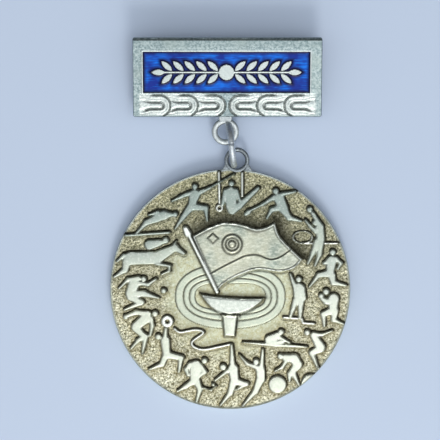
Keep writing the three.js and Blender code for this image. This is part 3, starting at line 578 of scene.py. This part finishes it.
def disc_grid(radius):
    """Points of a square grid bent onto a disc without crowding."""
    line = np.linspace(-1, 1, DISC_CELLS + 1)
    a, b = np.meshgrid(line, line)
    wide = np.abs(a) > np.abs(b)
    safe_a = np.where(np.abs(a) < 1e-9, 1e-9, a)
    safe_b = np.where(np.abs(b) < 1e-9, 1e-9, b)
    r = np.where(wide, a, b)
    angle = np.where(wide, math.pi / 4 * b / safe_a, math.pi / 2 - math.pi / 4 * a / safe_b)
    return radius * r * np.cos(angle), radius * r * np.sin(angle)


def build_disc():
    inner = DISC_RADIUS - 0.1
    x, y = disc_grid(inner)
    height, state, relief, lanes, outside = disc_heights(x, y)
    top, border = with_border(x, y, FIELD + height)
    angle = np.arctan2(border[:, 1], border[:, 0])

    def ring(radius, z):
        return np.stack([radius * np.cos(angle), radius * np.sin(angle), z + 0 * angle], -1)

    rings = [
        ring(DISC_RADIUS - 0.03, FIELD - 0.02),
        ring(DISC_RADIUS, FIELD - 0.16),
        ring(DISC_RADIUS, 0.4),
        ring(DISC_RADIUS - 0.12, 0.12),
        ring(DISC_RADIUS - 0.4, 0.0),
    ]
    vertices, faces = skirted_grid(top, rings)
    obj = new_object("disc_body", vertices, faces)
    shade(obj, 60)
    # Patina and painted shade: dark outlines, thick on the upper side of each raised shape, away from the
    # light, thin below it.
    step = 0.1
    nearer = disc_heights(x - 0.45 * step, y - step)[4]
    lean = np.clip((outside - nearer) / step, -1, 1)
    reach = 0.17 + 0.29 * smoothstep(-0.2, 0.9, lean)
    dark = smoothstep(reach, reach * 0.45, outside) * (0.55 + 0.45 * smoothstep(-0.5, 0.4, lean))
    # A wide soft painted shadow, partly patina, spreads above the large shapes.
    shadow_and_patina = 0.45 * np.exp(-outside / 0.7) * smoothstep(-0.3, 0.8, lean)
    corner = disc_heights(x - 0.7 * step, y - step)[1]
    # The flag and the bowl get a darker painted shadow above them, partly patina.
    for name, width in (("flag", 2.2), ("bowl", 0.6)):
        own_lean = np.clip((state[name] - corner[name]) / step, -1, 1)
        own_shadow_and_patina = 0.98 * np.exp(-((state[name] / width) ** 1.7)) * smoothstep(-0.1, 0.7, own_lean)
        shadow_and_patina = np.maximum(shadow_and_patina, own_shadow_and_patina)
    dark = np.maximum(dark, shadow_and_patina) * (1 - relief)
    # Grooves and cut lines are darkened as well: patina and painted shade in the creases.
    dark = np.maximum(dark, 0.9 * state["groove"])
    radius = np.hypot(x, y)
    edge = np.ones(len(obj.data.vertices))
    edge[: radius.size] = smoothstep(DISC_RADIUS - 0.42, DISC_RADIUS - 0.26, radius).ravel()
    set_masks(
        obj, relief=relief, lane=lanes, dark=np.clip(dark, 0, 1), rough=state["rough"],
        bright=state["bright"], line=state["line"], near=np.exp(-outside / 0.8),
        cloth=state["cloth"], edge=edge)
    return obj


# ---- bar
def rounded_corner(x, y, half_width, low, high, radius):
    """Bends the corners of a rectangular grid onto quarter circles."""
    px, py = x.copy(), y.copy()
    for sx in (-1, 1):
        for sy, edge in ((-1, low), (1, high)):
            cx = sx * (half_width - radius)
            cy = edge - sy * radius
            a = (x - cx) * sx / radius
            b = (y - cy) * sy / radius
            zone = (a > 0) & (b > 0)
            big = np.maximum(a, b)
            small = np.minimum(a, b)
            angle = math.pi / 4 * small / np.maximum(big, 1e-9)
            ca = np.where(a >= b, np.cos(angle), np.sin(angle))
            sb = np.where(a >= b, np.sin(angle), np.cos(angle))
            px = np.where(zone, cx + sx * radius * big * ca, px)
            py = np.where(zone, cy + sy * radius * big * sb, py)
    return px, py


PANEL_MIDDLE = PANEL_BOTTOM + PANEL_HEIGHT / 2
LEAF_PAIRS = 5
LEAF_PITCH = 1.9
LEAF_LENGTH = 2.6
LEAF_WIDTH = 1.1
LEAF_RISE = 1.05
LEAF_ANGLE = math.radians(42)
STEM_RADIUS = 0.225
ROSETTE = 1.35


def leaf_distance(x, y, cx, cy, angle):
    """Signed distance to a pointed leaf made by two crossing circles."""
    c, s = math.cos(angle), math.sin(angle)
    u = (x - cx) * c + (y - cy) * s
    v = np.abs(-(x - cx) * s + (y - cy) * c)
    radius = ((LEAF_LENGTH / 2) ** 2 + (LEAF_WIDTH / 2) ** 2) / LEAF_WIDTH
    return np.hypot(u, v + radius - LEAF_WIDTH / 2) - radius


def laurel_distance(x, y):
    """Signed distance to the two laurel sprays and their rosette."""
    best = np.hypot(x - PANEL_SHIFT, y - PANEL_MIDDLE) - ROSETTE
    reach = ROSETTE + LEAF_PAIRS * LEAF_PITCH
    stem = [(PANEL_SHIFT - reach, PANEL_MIDDLE), (PANEL_SHIFT + reach, PANEL_MIDDLE)]
    best = np.minimum(best, line_distance(x, y, stem) - STEM_RADIUS)
    for side in (-1, 1):
        for pair in range(LEAF_PAIRS):
            cx = PANEL_SHIFT + side * (ROSETTE + 0.9 + pair * LEAF_PITCH)
            for rise in (-1, 1):
                angle = rise * LEAF_ANGLE
                if side < 0:
                    angle = math.pi - angle
                cy = PANEL_MIDDLE + rise * LEAF_RISE
                best = np.minimum(best, leaf_distance(x, y, cx, cy, angle))
        end = PANEL_SHIFT + side * (reach + 0.4)
        best = np.minimum(best, leaf_distance(x, y, end, PANEL_MIDDLE, 0))
    return best


LOOP_APEXES = (0.33, 4.88, 9.43)
LOOP_RADIUS = 1.72
LOOP_MIDDLE = 1.95
TONGUE = 0.56
BAND_END = BAR_WIDTH / 2 - 0.9


def band_relief(x, y):
    """The moulded band of rope loops: height change, dark grooves and where the rope lies."""
    out = np.abs(x)
    drop = np.zeros_like(x)
    groove = np.zeros_like(x)
    rope = np.zeros_like(x)
    for apex in LOOP_APEXES:
        along = out - apex
        # Both legs flare a little at the loop's open end.
        flare = 0.3 * smoothstep(3.2, 4.6, along)
        reach = np.hypot(np.minimum(along - LOOP_RADIUS, 0), y - LOOP_MIDDLE) - flare
        inside = reach < LOOP_RADIUS + 0.15
        # The tongue's groove is deep below and fades along its upper side and towards the open end.
        lit = np.where(y > LOOP_MIDDLE, 0.55, 1.0) * smoothstep(4.9, 3.6, along)
        inner = bell(reach - TONGUE, 0.13) * lit
        outer = bell(reach - LOOP_RADIUS - 0.03, 0.12)
        # The outer groove runs on along the top only a little way, and dies out sooner below.
        top_end = smoothstep(LOOP_RADIUS + 2.0, LOOP_RADIUS + 0.6, along)
        low_end = smoothstep(LOOP_RADIUS + 0.1, LOOP_RADIUS - 0.9, along)
        outer = outer * np.where(y > LOOP_MIDDLE, top_end, low_end)
        # The rope has a shallow middle crease, so it reads as two strands.
        strand = bell(reach - 1.13, 0.1)
        crest = 0.06 * np.cos((reach - (TONGUE + LOOP_RADIUS) / 2) * math.pi / 1.1) - 0.05 * strand
        swell = np.where(reach > TONGUE, crest, 0.08 * smoothstep(TONGUE, 0, reach))
        own = -0.2 * inner - 0.18 * outer + swell - 0.06
        drop = np.where(inside, own, drop)
        groove = np.where(inside, np.maximum(np.maximum(0.8 * inner, 0.6 * outer), 0.22 * strand), groove)
        rope = np.where(inside, 1.0, rope)
    fade = smoothstep(BAND_END, BAND_END - 0.4, out)
    fade = fade * smoothstep(0.15, 0.45, y)
    fade = fade * smoothstep(PANEL_BOTTOM - 0.05, PANEL_BOTTOM - 0.3, y)
    return drop * fade, groove * fade, rope * fade


def panel_distance(x, y):
    return np.maximum(
        np.abs(x - PANEL_SHIFT) - PANEL_WIDTH / 2,
        np.abs(y - PANEL_MIDDLE) - PANEL_HEIGHT / 2,
    )


BAR_SPACING = 0.09
ENAMEL_SPACING = 0.1
BAR_CORNER = 0.22


def build_bar():
    inset = 0.16
    half = BAR_WIDTH / 2 - inset
    low, high = inset, BAR_HEIGHT - inset
    x, y = flat_grid(-half, half, low, high, BAR_SPACING)
    x, y = rounded_corner(x, y, half, low, high, BAR_CORNER)
    panel = panel_distance(x, y)
    motif = laurel_distance(x, y)
    pocket = smoothstep(0.06, -0.1, panel)
    raised = smoothstep(0.06, -0.08, motif)
    z = BAR_THICKNESS - (BAR_THICKNESS - PANEL_FLOOR) * pocket * (1 - raised)
    bevel = bell(panel - 0.17, 0.1) * (panel > 0) * (y > PANEL_BOTTOM - 0.05)
    z += 0.05 * bevel
    drop, groove, rope = band_relief(x, y)
    z = z + drop * (1 - pocket)
    z += (lattice_noise(x, y, 1.7, 8) - 0.5) * 0.03 * (1 - pocket)
    z -= 0.03
    shoulder = smoothstep(high - 0.3, high, y)
    z -= 0.16 * shoulder
    top, border = with_border(x, y, z)
    centre = np.array([0, BAR_HEIGHT / 2])
    inner_box = np.array([half - BAR_CORNER, (high - low) / 2 - BAR_CORNER])
    nearest = np.clip(border[:, :2] - centre, -inner_box, inner_box) + centre
    away = border[:, :2] - nearest
    away /= np.maximum(np.linalg.norm(away, axis=1, keepdims=True), 1e-9)

    def ring(out, z_level):
        flat = border[:, :2] + away * out
        return np.column_stack([flat, np.full(len(flat), z_level)])

    rings = [
        ring(0.1, BAR_THICKNESS - 0.22),
        ring(inset, BAR_THICKNESS - 0.34),
        ring(inset, 0.2),
        ring(inset - 0.1, 0.05),
        ring(inset - 0.2, 0.0),
    ]
    vertices, faces = skirted_grid(top, rings)
    obj = new_object("bar_body", vertices, faces, BAR_MATRIX)
    shade(obj, 50)
    # Dark grooves of the band, partly patina and partly painted shade, and painted shade on the top
    # shoulder, which faces away from the light.
    dark = np.maximum(0.85 * groove * (1 - pocket), 0.25 * shoulder)
    set_masks(
        obj, dark=np.clip(dark, 0, 1), bevel=bevel, upper=smoothstep(11.4, 12.0, y),
        motif=raised * pocket, band=rope * (1 - pocket), pocket=pocket * (1 - raised))
    return obj


def build_enamel():
    """Lacquer that sinks a little in the middle of each space and climbs the metal at its edges."""
    gap = 0.03
    half = PANEL_WIDTH / 2 - gap
    low = PANEL_BOTTOM + gap
    high = PANEL_BOTTOM + PANEL_HEIGHT - gap
    x, y = flat_grid(PANEL_SHIFT - half, PANEL_SHIFT + half, low, high, ENAMEL_SPACING)
    wall = np.minimum(-panel_distance(x, y), laurel_distance(x, y))
    surface = BAR_THICKNESS - ENAMEL_SINK - 0.1
    z = surface + 0.09 * np.exp(-np.clip(wall, 0, 9) / 0.22)
    z += (lattice_noise(x, y, 2.4, 12) - 0.5) * 0.03
    covered = laurel_distance(x, y) < -0.04
    z = np.where(covered, surface - 0.1, z)
    top, border = with_border(x, y, z)
    rings = [np.column_stack([border[:, :2], np.full(len(border), PANEL_FLOOR + 0.05)])]
    vertices, faces = skirted_grid(top, rings)
    obj = new_object("enamel_body", vertices, faces, BAR_MATRIX)
    shade(obj, 50)
    set_masks(obj, wall=np.clip(wall, 0, 3))
    return obj


# ---- eyelets, ring and pin
def revolved_band(centre, middle, radius, half_width, half_height, turns=96, sides=20):
    """A closed ring with a rounded oblong section, its axis upright."""
    vertices = []
    faces = []
    for i in range(turns):
        angle = 2 * math.pi * i / turns
        for j in range(sides):
            s = 2 * math.pi * j / sides
            across = half_width * math.copysign(abs(math.cos(s)) ** 0.9, math.cos(s))
            up = half_height * math.copysign(abs(math.sin(s)) ** 0.9, math.sin(s))
            r = radius + across
            vertices.append((centre[0] + r * math.cos(angle), centre[1] + r * math.sin(angle), middle + up))
    for i in range(turns):
        for j in range(sides):
            a = i * sides + j
            b = ((i + 1) % turns) * sides + j
            c = ((i + 1) % turns) * sides + (j + 1) % sides
            d = i * sides + (j + 1) % sides
            faces.append([a, b, c, d])
    return vertices, faces


def soft_block(name, outline, bottom, top, bevel, matrix=None):
    """A flat outline raised between two levels, with rounded edges."""
    count = len(outline)
    vertices = [(px, py, bottom) for px, py in outline] + [(px, py, top) for px, py in outline]
    faces = [list(range(count))[::-1], list(range(count, 2 * count))]
    faces += [[i, (i + 1) % count, count + (i + 1) % count, count + i] for i in range(count)]
    obj = new_object(name, vertices, faces, matrix)
    apply_bevel(obj, bevel)
    return obj


def apply_bevel(obj, width, segments=3):
    modifier = obj.modifiers.new("edges", "BEVEL")
    modifier.width = width * MM
    modifier.segments = segments
    modifier.limit_method = "ANGLE"
    modifier.angle_limit = math.radians(30)
    apply_modifiers(obj)


def apply_modifiers(obj):
    graph = bpy.context.evaluated_depsgraph_get()
    mesh = bpy.data.meshes.new_from_object(obj.evaluated_get(graph))
    old = obj.data
    obj.modifiers.clear()
    obj.data = mesh
    bpy.data.meshes.remove(old)


def merge_into(obj, other):
    """Joins another solid to this one by a boolean union."""
    modifier = obj.modifiers.new("join", "BOOLEAN")
    modifier.operation = "UNION"
    modifier.solver = "EXACT"
    modifier.object = other
    apply_modifiers(obj)
    bpy.data.objects.remove(other, do_unlink=True)


def build_bar_eyelet():
    radius = BAR_EYE_HOLE + BAR_EYE_WALL / 2
    vertices, faces = revolved_band(
        BAR_EYE, BAR_EYE_MIDDLE, radius, BAR_EYE_WALL / 2, BAR_EYE_THICKNESS / 2)
    obj = new_object("bar_eyelet", vertices, faces, BAR_MATRIX)
    x0 = BAR_EYE[0]
    neck = [(x0 - 1.0, -0.9), (x0 + 1.0, -0.9), (x0 + 1.15, 0.2), (x0 - 1.15, 0.2)]
    block = soft_block(
        "bar_neck", neck, BAR_EYE_MIDDLE - 0.36, BAR_EYE_MIDDLE + 0.36, 0.15, BAR_MATRIX)
    merge_into(obj, block)
    shade(obj, 50)
    return obj


# Outline of the metal that joins the eyelet to the disc: out from the eyelet's middle, and up.
EYELET_FOOT = ((1.3, 19.7), (2.7, 19.5), (2.05, 20.7), (1.75, 21.0))


def build_disc_eyelet():
    radius = DISC_EYE_HOLE + DISC_EYE_WALL / 2
    vertices, faces = revolved_band(
        DISC_EYE, DISC_EYE_MIDDLE, radius, DISC_EYE_WALL / 2, DISC_EYE_THICKNESS / 2)
    obj = new_object("disc_eyelet", vertices, faces)
    for side in (-1, 1):
        x0 = DISC_EYE[0]
        foot = [(x0 + side * out, up) for out, up in EYELET_FOOT][::side]
        block = soft_block("foot", foot, DISC_EYE_MIDDLE - 0.4, DISC_EYE_MIDDLE + 0.36, 0.12)
        merge_into(obj, block)
    shade(obj, 50)
    return obj


def swept_wire(path, radius, sides):
    """A tube with flat ends along points whose tangents turn in one plane."""
    vertices = []
    faces = []
    path = [Vector(p) for p in path]
    last = len(path) - 1
    for i, point in enumerate(path):
        tangent = (path[min(i + 1, last)] - path[max(i - 1, 0)]).normalized()
        side = Vector((1, 0, 0)) if abs(tangent.x) < 0.9 else Vector((0, 1, 0))
        up = tangent.cross(side).normalized()
        side = up.cross(tangent)
        for j in range(sides):
            s = 2 * math.pi * j / sides
            vertices.append(tuple(point + side * radius * math.cos(s) + up * radius * math.sin(s)))
    for i in range(last):
        for j in range(sides):
            a = i * sides + j
            b = i * sides + (j + 1) % sides
            faces.append([a, b, b + sides, a + sides])
    faces.append(list(range(sides))[::-1])
    faces.append([last * sides + j for j in range(sides)])
    return vertices, faces


def build_ring():
    steps = 120
    start = math.pi / 2 + RING_SPLIT / 2
    sweep = 2 * math.pi - RING_SPLIT
    path = []
    for i in range(steps + 1):
        t = i / steps
        angle = start + sweep * t
        # The cut ends sit a hair out of line, as on any hand-closed ring.
        skew = 0.1 * (t - 0.5)
        path.append((skew, RING_RADIUS * math.cos(angle), RING_RADIUS * math.sin(angle)))
    vertices, faces = swept_wire(path, RING_WIRE - 0.01, 24)
    matrix = Matrix.Translation(RING_CENTRE) @ Matrix.Rotation(RING_LEAN, 4, "Z")
    obj = new_object("ring_wire", vertices, faces, matrix)
    apply_bevel(obj, 0.06, 2)
    shade(obj, 50)
    return obj


# ---- materials
class Tree:
    """Short forms for building a node tree."""

    def __init__(self, tree):
        self.tree = tree

    def link(self, source, target):
        self.tree.links.new(source, target)

    def add(self, kind, **settings):
        """A shader node with its inputs set by name."""
        node = self.tree.nodes.new("ShaderNode" + kind)
        for name, value in settings.items():
            node.inputs[name.replace("_", " ")].default_value = value
        return node

    def put(self, socket, value):
        if isinstance(value, bpy.types.NodeSocket):
            self.link(value, socket)
        elif value is not None:
            socket.default_value = value

    def ranged(self, value, low, high, new_low, new_high):
        node = self.add("MapRange", From_Min=low, From_Max=high, To_Min=new_low, To_Max=new_high)
        self.put(node.inputs["Value"], value)
        return node.outputs[0]


class Paint(Tree):
    """One material's node tree."""

    def __init__(self, name):
        self.material = bpy.data.materials.new(name)
        self.material.use_nodes = True
        super().__init__(self.material.node_tree)
        self.tree.nodes.clear()
        output = self.add("OutputMaterial")
        self.shader = self.add("BsdfPrincipled")
        self.link(self.shader.outputs[0], output.inputs[0])
        self.place = self.add("TexCoord").outputs["Object"]

    def noise(self, scale_mm, detail=3.0, rough=0.55, stretch=None, turn=0.0):
        """Noise whose features are about scale_mm across."""
        place = self.place
        if stretch:
            mapping = self.add("Mapping", Rotation=(0, 0, turn), Scale=stretch)
            self.link(place, mapping.inputs["Vector"])
            place = mapping.outputs[0]
        node = self.add("TexNoise", Scale=1 / (scale_mm * MM), Detail=detail, Roughness=rough)
        self.link(place, node.inputs["Vector"])
        return node.outputs["Fac"]

    def mask(self, name):
        node = self.add("Attribute")
        node.attribute_name = name
        return node.outputs["Fac"]

    def math(self, operation, a, b, clamp=False):
        node = self.add("Math")
        node.operation = operation
        node.use_clamp = clamp
        self.put(node.inputs[0], a)
        self.put(node.inputs[1], b)
        return node.outputs[0]

    def mix(self, factor, a, b):
        node = self.add("Mix")
        node.data_type = "RGBA"
        self.put(node.inputs[0], factor)
        self.put(node.inputs[6], a if isinstance(a, bpy.types.NodeSocket) else (*a, 1))
        self.put(node.inputs[7], b if isinstance(b, bpy.types.NodeSocket) else (*b, 1))
        return node.outputs[2]

    def over(self, value, low, high, most, colour, other):
        """Lays the other colour over the first one as the value goes from low to high."""
        return self.mix(self.ranged(value, low, high, 0, most), colour, other)

    def tint(self, name, share, colour, other):
        """Lays the other colour over the first one where the mask is."""
        return self.mix(self.math("MULTIPLY", self.mask(name), share), colour, other)

    def bump(self, height, distance_mm, strength, normal=None):
        node = self.add("Bump", Strength=strength, Distance=distance_mm * MM)
        self.link(height, node.inputs["Height"])
        self.put(node.inputs["Normal"], normal)
        return node.outputs[0]

    def finish(self, colour, roughness, metallic, normal=None):
        self.put(self.shader.inputs["Base Color"], colour)
        self.put(self.shader.inputs["Roughness"], roughness)
        self.put(self.shader.inputs["Metallic"], metallic)
        self.put(self.shader.inputs["Normal"], normal)
        return self.material


SILVER_COOL = (0.28, 0.33, 0.3)
SILVER_WARM = (0.58, 0.6, 0.49)
SILVER_BRIGHT = (0.8, 0.82, 0.76)
GOLD_GROUND = (0.56, 0.52, 0.32)
OLIVE_GROUND = (0.24, 0.24, 0.15)
SMOOTH_GROUND = (0.5, 0.53, 0.41)
# Near-black for patina and painted shade.
PATINA_AND_SHADE = (0.012, 0.012, 0.008)


def disc_material():
    """Struck silver with painted light: cool and dull near the eyelet, warm and bright at the foot, where
    the light falls.
    """
    n = Paint("disc_struck_metal")
    broad = n.noise(5, 2)
    fine = n.noise(0.5, 4, 0.65)
    specks = n.noise(0.3, 3, 0.75)
    split = n.add("SeparateXYZ")
    n.link(n.place, split.inputs[0])
    # Painted light: the metal is darker and cooler towards the top and brighter and warmer towards the
    # foot, the side the light comes from.
    height = n.math("ADD", split.outputs["Y"], n.ranged(broad, 0.3, 0.7, -0.004, 0.004))
    foot_light = n.ranged(height, 0.013, -0.004, 0, 1)
    silver = n.over(broad, 0.38, 0.62, 1, SILVER_WARM, (0.66, 0.67, 0.57))
    silver = n.mix(foot_light, SILVER_COOL, silver)
    silver = n.over(fine, 0.52, 0.7, 0.5, silver, SILVER_BRIGHT)
    silver = n.over(fine, 0.5, 0.32, 0.45, silver, (0.4, 0.46, 0.4))
    # Painted highlight, partly polish, where the line mask is.
    silver = n.tint("line", 0.9, silver, SILVER_BRIGHT)
    # The bowl is painted brighter: partly its polish, partly painted highlight.
    bowl = n.over(fine, 0.4, 0.7, 1, (0.42, 0.45, 0.4), (0.66, 0.68, 0.62))
    silver = n.mix(n.mask("bright"), silver, bowl)
    brushed = n.noise(0.3, 3, 0.6, stretch=(0.35, 1.0, 1.0), turn=-0.6)
    cloth = n.over(broad, 0.4, 0.6, 1, (0.27, 0.31, 0.26), (0.45, 0.45, 0.35))
    cloth = n.over(fine, 0.5, 0.7, 0.6, cloth, (0.72, 0.73, 0.62))
    cloth = n.over(brushed, 0.48, 0.65, 0.45, cloth, (0.74, 0.75, 0.64))
    cloth = n.over(brushed, 0.45, 0.3, 0.3, cloth, (0.2, 0.23, 0.19))
    silver = n.mix(n.mask("cloth"), silver, cloth)
    # The ground too is painted paler towards the foot.
    pale_ground = n.mix(foot_light, GOLD_GROUND, (0.8, 0.78, 0.6))
    # Stipple flecks follow the bump's noise: patina and painted shade in its hollows, painted highlight on
    # its peaks.
    stipple = n.over(specks, 0.42, 0.56, 1, OLIVE_GROUND, pale_ground)
    stipple = n.over(specks, 0.56, 0.66, 0.9, stipple, (0.96, 0.94, 0.76))
    stipple = n.over(specks, 0.44, 0.34, 0.85, stipple, (0.07, 0.06, 0.03))
    # The smooth field likewise: dark in the hollows and bright on the peaks of the same noise.
    field = n.over(fine, 0.35, 0.65, 0.8, SMOOTH_GROUND, (0.46, 0.43, 0.25))
    field = n.over(specks, 0.54, 0.7, 0.5, field, SILVER_BRIGHT)
    field = n.over(specks, 0.44, 0.34, 0.35, field, (0.12, 0.11, 0.06))
    ground = n.mix(n.mask("rough"), field, stipple)
    # Next to raised shapes the ground is mixed towards a darker brown, by a quarter at the top and a half
    # at the foot.
    tint = n.math("MULTIPLY", n.mask("near"), n.ranged(foot_light, 0, 1, 0.25, 0.5))
    ground = n.mix(tint, ground, n.mix(foot_light, (0.2, 0.22, 0.17), (0.42, 0.34, 0.15)))
    lane = n.over(fine, 0.4, 0.65, 1, (0.46, 0.5, 0.4), (0.6, 0.62, 0.5))
    colour = n.mix(n.mask("lane"), ground, lane)
    colour = n.mix(n.mask("relief"), colour, silver)
    raised = n.math("MAXIMUM", n.mask("relief"), n.mask("lane"), clamp=True)
    # Painted light on the rim: dark grey at the top, bright warm silver at the foot.
    rim = n.mix(foot_light, (0.3, 0.34, 0.34), SILVER_WARM)
    colour = n.mix(n.mask("edge"), colour, rim)
    # Patina and painted shade from the dark mask: outlines, shadows above shapes, and grooves.
    patina_and_shade = n.math("MULTIPLY", n.mask("dark"), n.ranged(fine, 0.2, 0.6, 0.85, 1.0), clamp=True)
    colour = n.mix(patina_and_shade, colour, PATINA_AND_SHADE)
    rough = n.ranged(fine, 0.3, 0.7, 0.34, 0.46)
    rough = n.math("ADD", rough, n.math("MULTIPLY", n.mask("dark"), 0.25), clamp=True)
    grain = n.math("MULTIPLY", n.mask("rough"), n.ranged(raised, 0, 1, 1.0, 0.0))
    grain = n.math("MULTIPLY", specks, n.ranged(grain, 0, 1, 0.12, 1.0))
    normal = n.bump(grain, 0.16, 0.8)
    normal = n.bump(fine, 0.02, 0.5, normal)
    return n.finish(colour, rough, 1.0, normal)


def bar_material():
    """Satin metal with a fine crystalline mottle, rubbed bright on the raised rope and leaves."""
    n = Paint("bar_satin_metal")
    grain = n.noise(0.36, 4, 0.7)
    broad = n.noise(3, 3)
    colour = n.over(grain, 0.4, 0.6, 1, (0.14, 0.19, 0.2), (0.36, 0.42, 0.42))
    colour = n.over(broad, 0.45, 0.65, 0.5, colour, (0.3, 0.35, 0.33))
    # Painted shade along the bar's top strip, which turns away from the light.
    colour = n.tint("upper", 0.25, colour, (0.12, 0.16, 0.16))
    colour = n.tint("motif", 0.7, colour, (0.46, 0.49, 0.47))
    rope = n.over(grain, 0.4, 0.6, 1, (0.34, 0.38, 0.37), (0.6, 0.63, 0.6))
    colour = n.tint("band", 0.9, colour, rope)
    # Painted highlight on the raised bevel round the top and sides of the panel.
    colour = n.tint("bevel", 0.45, colour, (0.8, 0.84, 0.85))
    # The dark mask: patina and painted shade in the band's grooves, painted shade on the top shoulder.
    colour = n.tint("dark", 0.85, colour, (0.05, 0.055, 0.05))
    colour = n.mix(n.mask("pocket"), colour, (0.02, 0.06, 0.25))
    rough = n.ranged(grain, 0.3, 0.7, 0.3, 0.42)
    normal = n.bump(grain, 0.06, 0.7)
    return n.finish(colour, rough, 1.0, normal)


def enamel_material():
    n = Paint("blue_lacquer_enamel")
    streaks = n.noise(0.28, 3, 0.6, stretch=(0.12, 1.0, 1.0))
    cloud = n.noise(3.0, 2)
    deep, mid, azure = (0.0, 0.001, 0.05), (0.0, 0.025, 0.3), (0.0, 0.16, 0.8)
    colour = n.over(cloud, 0.38, 0.6, 0.9, mid, azure)
    colour = n.over(streaks, 0.45, 0.65, 0.7, colour, (0.0, 0.02, 0.26))
    colour = n.over(streaks, 0.45, 0.3, 0.6, colour, (0.0, 0.26, 0.9))
    edge = n.ranged(n.mask("wall"), 0.12, 0.62, 1, 0)
    colour = n.mix(edge, colour, deep)
    normal = n.bump(streaks, 0.02, 0.25)
    n.shader.inputs["Specular IOR Level"].default_value = 0.12
    n.shader.inputs["Coat Weight"].default_value = 0.08
    n.shader.inputs["Coat Roughness"].default_value = 0.1
    return n.finish(colour, 0.4, 0.0, normal)


def wire_material(name, light, dark, roughness):
    n = Paint(name)
    grain = n.noise(0.25, 4, 0.6)
    smudge = n.noise(1.6, 2)
    colour = n.over(grain, 0.35, 0.65, 1, dark, light)
    colour = n.over(smudge, 0.55, 0.75, 0.4, colour, dark)
    rough = n.ranged(smudge, 0.3, 0.7, roughness, roughness + 0.15)
    return n.finish(colour, rough, 1.0, n.bump(grain, 0.01, 0.4))


def use(obj, material, body, slot, *nodes):
    obj.data.materials.clear()
    obj.data.materials.append(material)
    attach(obj, body)
    if nodes:
        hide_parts(*nodes)


# ---- assembly
disc_metal = disc_material()
bar_metal = bar_material()
enamel = enamel_material()
ring_metal = wire_material("ring_bright_wire", (0.68, 0.72, 0.74), (0.42, 0.46, 0.5), 0.44)
loop_metal = wire_material("loop_bright_metal", (0.62, 0.65, 0.65), (0.4, 0.44, 0.45), 0.36)
eyelet_metal = wire_material("eyelet_dull_metal", (0.36, 0.4, 0.42), (0.16, 0.18, 0.2), 0.36)
pin_metal = wire_material("pin_plated_steel", (0.62, 0.62, 0.6), (0.42, 0.42, 0.41), 0.3)
rivet_metal = wire_material("rivet_soft_aluminium", (0.72, 0.73, 0.71), (0.5, 0.51, 0.5), 0.38)

use(build_disc(), disc_metal, "disc", "disc_silver", "medal_disc")
use(build_disc_eyelet(), eyelet_metal, "disc", "disc_silver")
use(build_bar(), bar_metal, "bar", "bar_silver", "bar_plate")
use(build_bar_eyelet(), loop_metal, "bar", "bar_silver")
use(build_enamel(), enamel, "bar", "blue_enamel", "enamel_fill")
use(build_ring(), ring_metal, "ring", "ring_steel", "jump_ring")
# The pin's pieces have their real shape already, so only their metal changes.
for metal, nodes in (
    (pin_metal, ("pin_base", "catch_hook", "needle")),
    (rivet_metal, ("hinge_rivet", "rivet_left", "rivet_right")),
):
    for node in nodes:
        for slot in frame["nodes"][node].material_slots:
            slot.material = metal

# ---- floor, light and camera
FLOOR_SIZE = 1.2
WORLD_STRENGTH = 1.9
LIGHT_TARGET = (0, 0.01, 0)


def build_floor():
    half = FLOOR_SIZE / 2
    mesh = bpy.data.meshes.new("floor")
    corners = [(-half, -half, 0), (half, -half, 0), (half, half, 0), (-half, half, 0)]
    mesh.from_pydata(corners, [], [[0, 1, 2, 3]])
    obj = place_object("floor", mesh)
    n = Paint("floor_paper")
    n.finish((0.575, 0.665, 0.825, 1), 0.8, 0.0)
    mesh.materials.append(n.material)
    obj.location.z = -0.00002


def add_area(name, place, size, power, colour):
    data = bpy.data.lights.new(name, "AREA")
    data.energy = power
    data.size = size
    data.color = colour
    obj = place_object(name, data)
    obj.location = place
    obj.rotation_euler = (Vector(LIGHT_TARGET) - Vector(place)).to_track_quat("-Z", "Y").to_euler()


def build_world():
    """A room with a bright window wall towards -Y, a grey ceiling and a dark side towards +Y."""
    world = bpy.data.worlds.new("soft_room")
    bpy.context.scene.world = world
    world.use_nodes = True
    tree = Tree(world.node_tree)
    background = world.node_tree.nodes["Background"]
    split = tree.add("SeparateXYZ")
    tree.link(tree.add("TexCoord").outputs["Generated"], split.inputs[0])
    ramp = tree.add("ValToRGB")
    tree.link(tree.ranged(split.outputs["Y"], -1, 1, 0, 1), ramp.inputs[0])
    stops = (
        (0.0, 1.2), (0.12, 0.9), (0.25, 0.36), (0.35, 0.36), (0.44, 0.6),
        (0.5, 0.5), (0.57, 0.34), (0.68, 0.14), (1.0, 0.1),
    )
    while len(ramp.color_ramp.elements) < len(stops):
        ramp.color_ramp.elements.new(0.5)
    for element, (place, level) in zip(ramp.color_ramp.elements, stops):
        element.position = place
        element.color = (level * 0.93, level * 0.97, level, 1)
    tree.link(ramp.outputs[0], background.inputs["Color"])
    strength = tree.ranged(split.outputs["Z"], 0.1, 0.85, 0.45 * WORLD_STRENGTH, WORLD_STRENGTH)
    tree.link(strength, background.inputs["Strength"])


build_floor()
build_world()
add_area("key", (0.05, -0.28, 0.3), 0.12, 0.5, (1.0, 0.97, 0.92))
add_area("top", (0.08, -0.12, 0.7), 0.4, 0.8, (0.93, 0.97, 1.0))
bpy.context.scene.view_settings.view_transform = "Standard"

VIEW_WIDTH = 73.8
VIEW_CENTRE = (-1.71, 11.49)
CAMERA_HEIGHT = 320.0
SENSOR = 36.0
camera_data = bpy.data.cameras.new("camera")
camera_data.sensor_width = SENSOR
camera_data.lens = SENSOR * CAMERA_HEIGHT / VIEW_WIDTH
camera_data.clip_start = 0.01
camera = place_object("camera", camera_data)
camera.location = (VIEW_CENTRE[0] * MM, VIEW_CENTRE[1] * MM, CAMERA_HEIGHT * MM)
bpy.context.scene.camera = camera
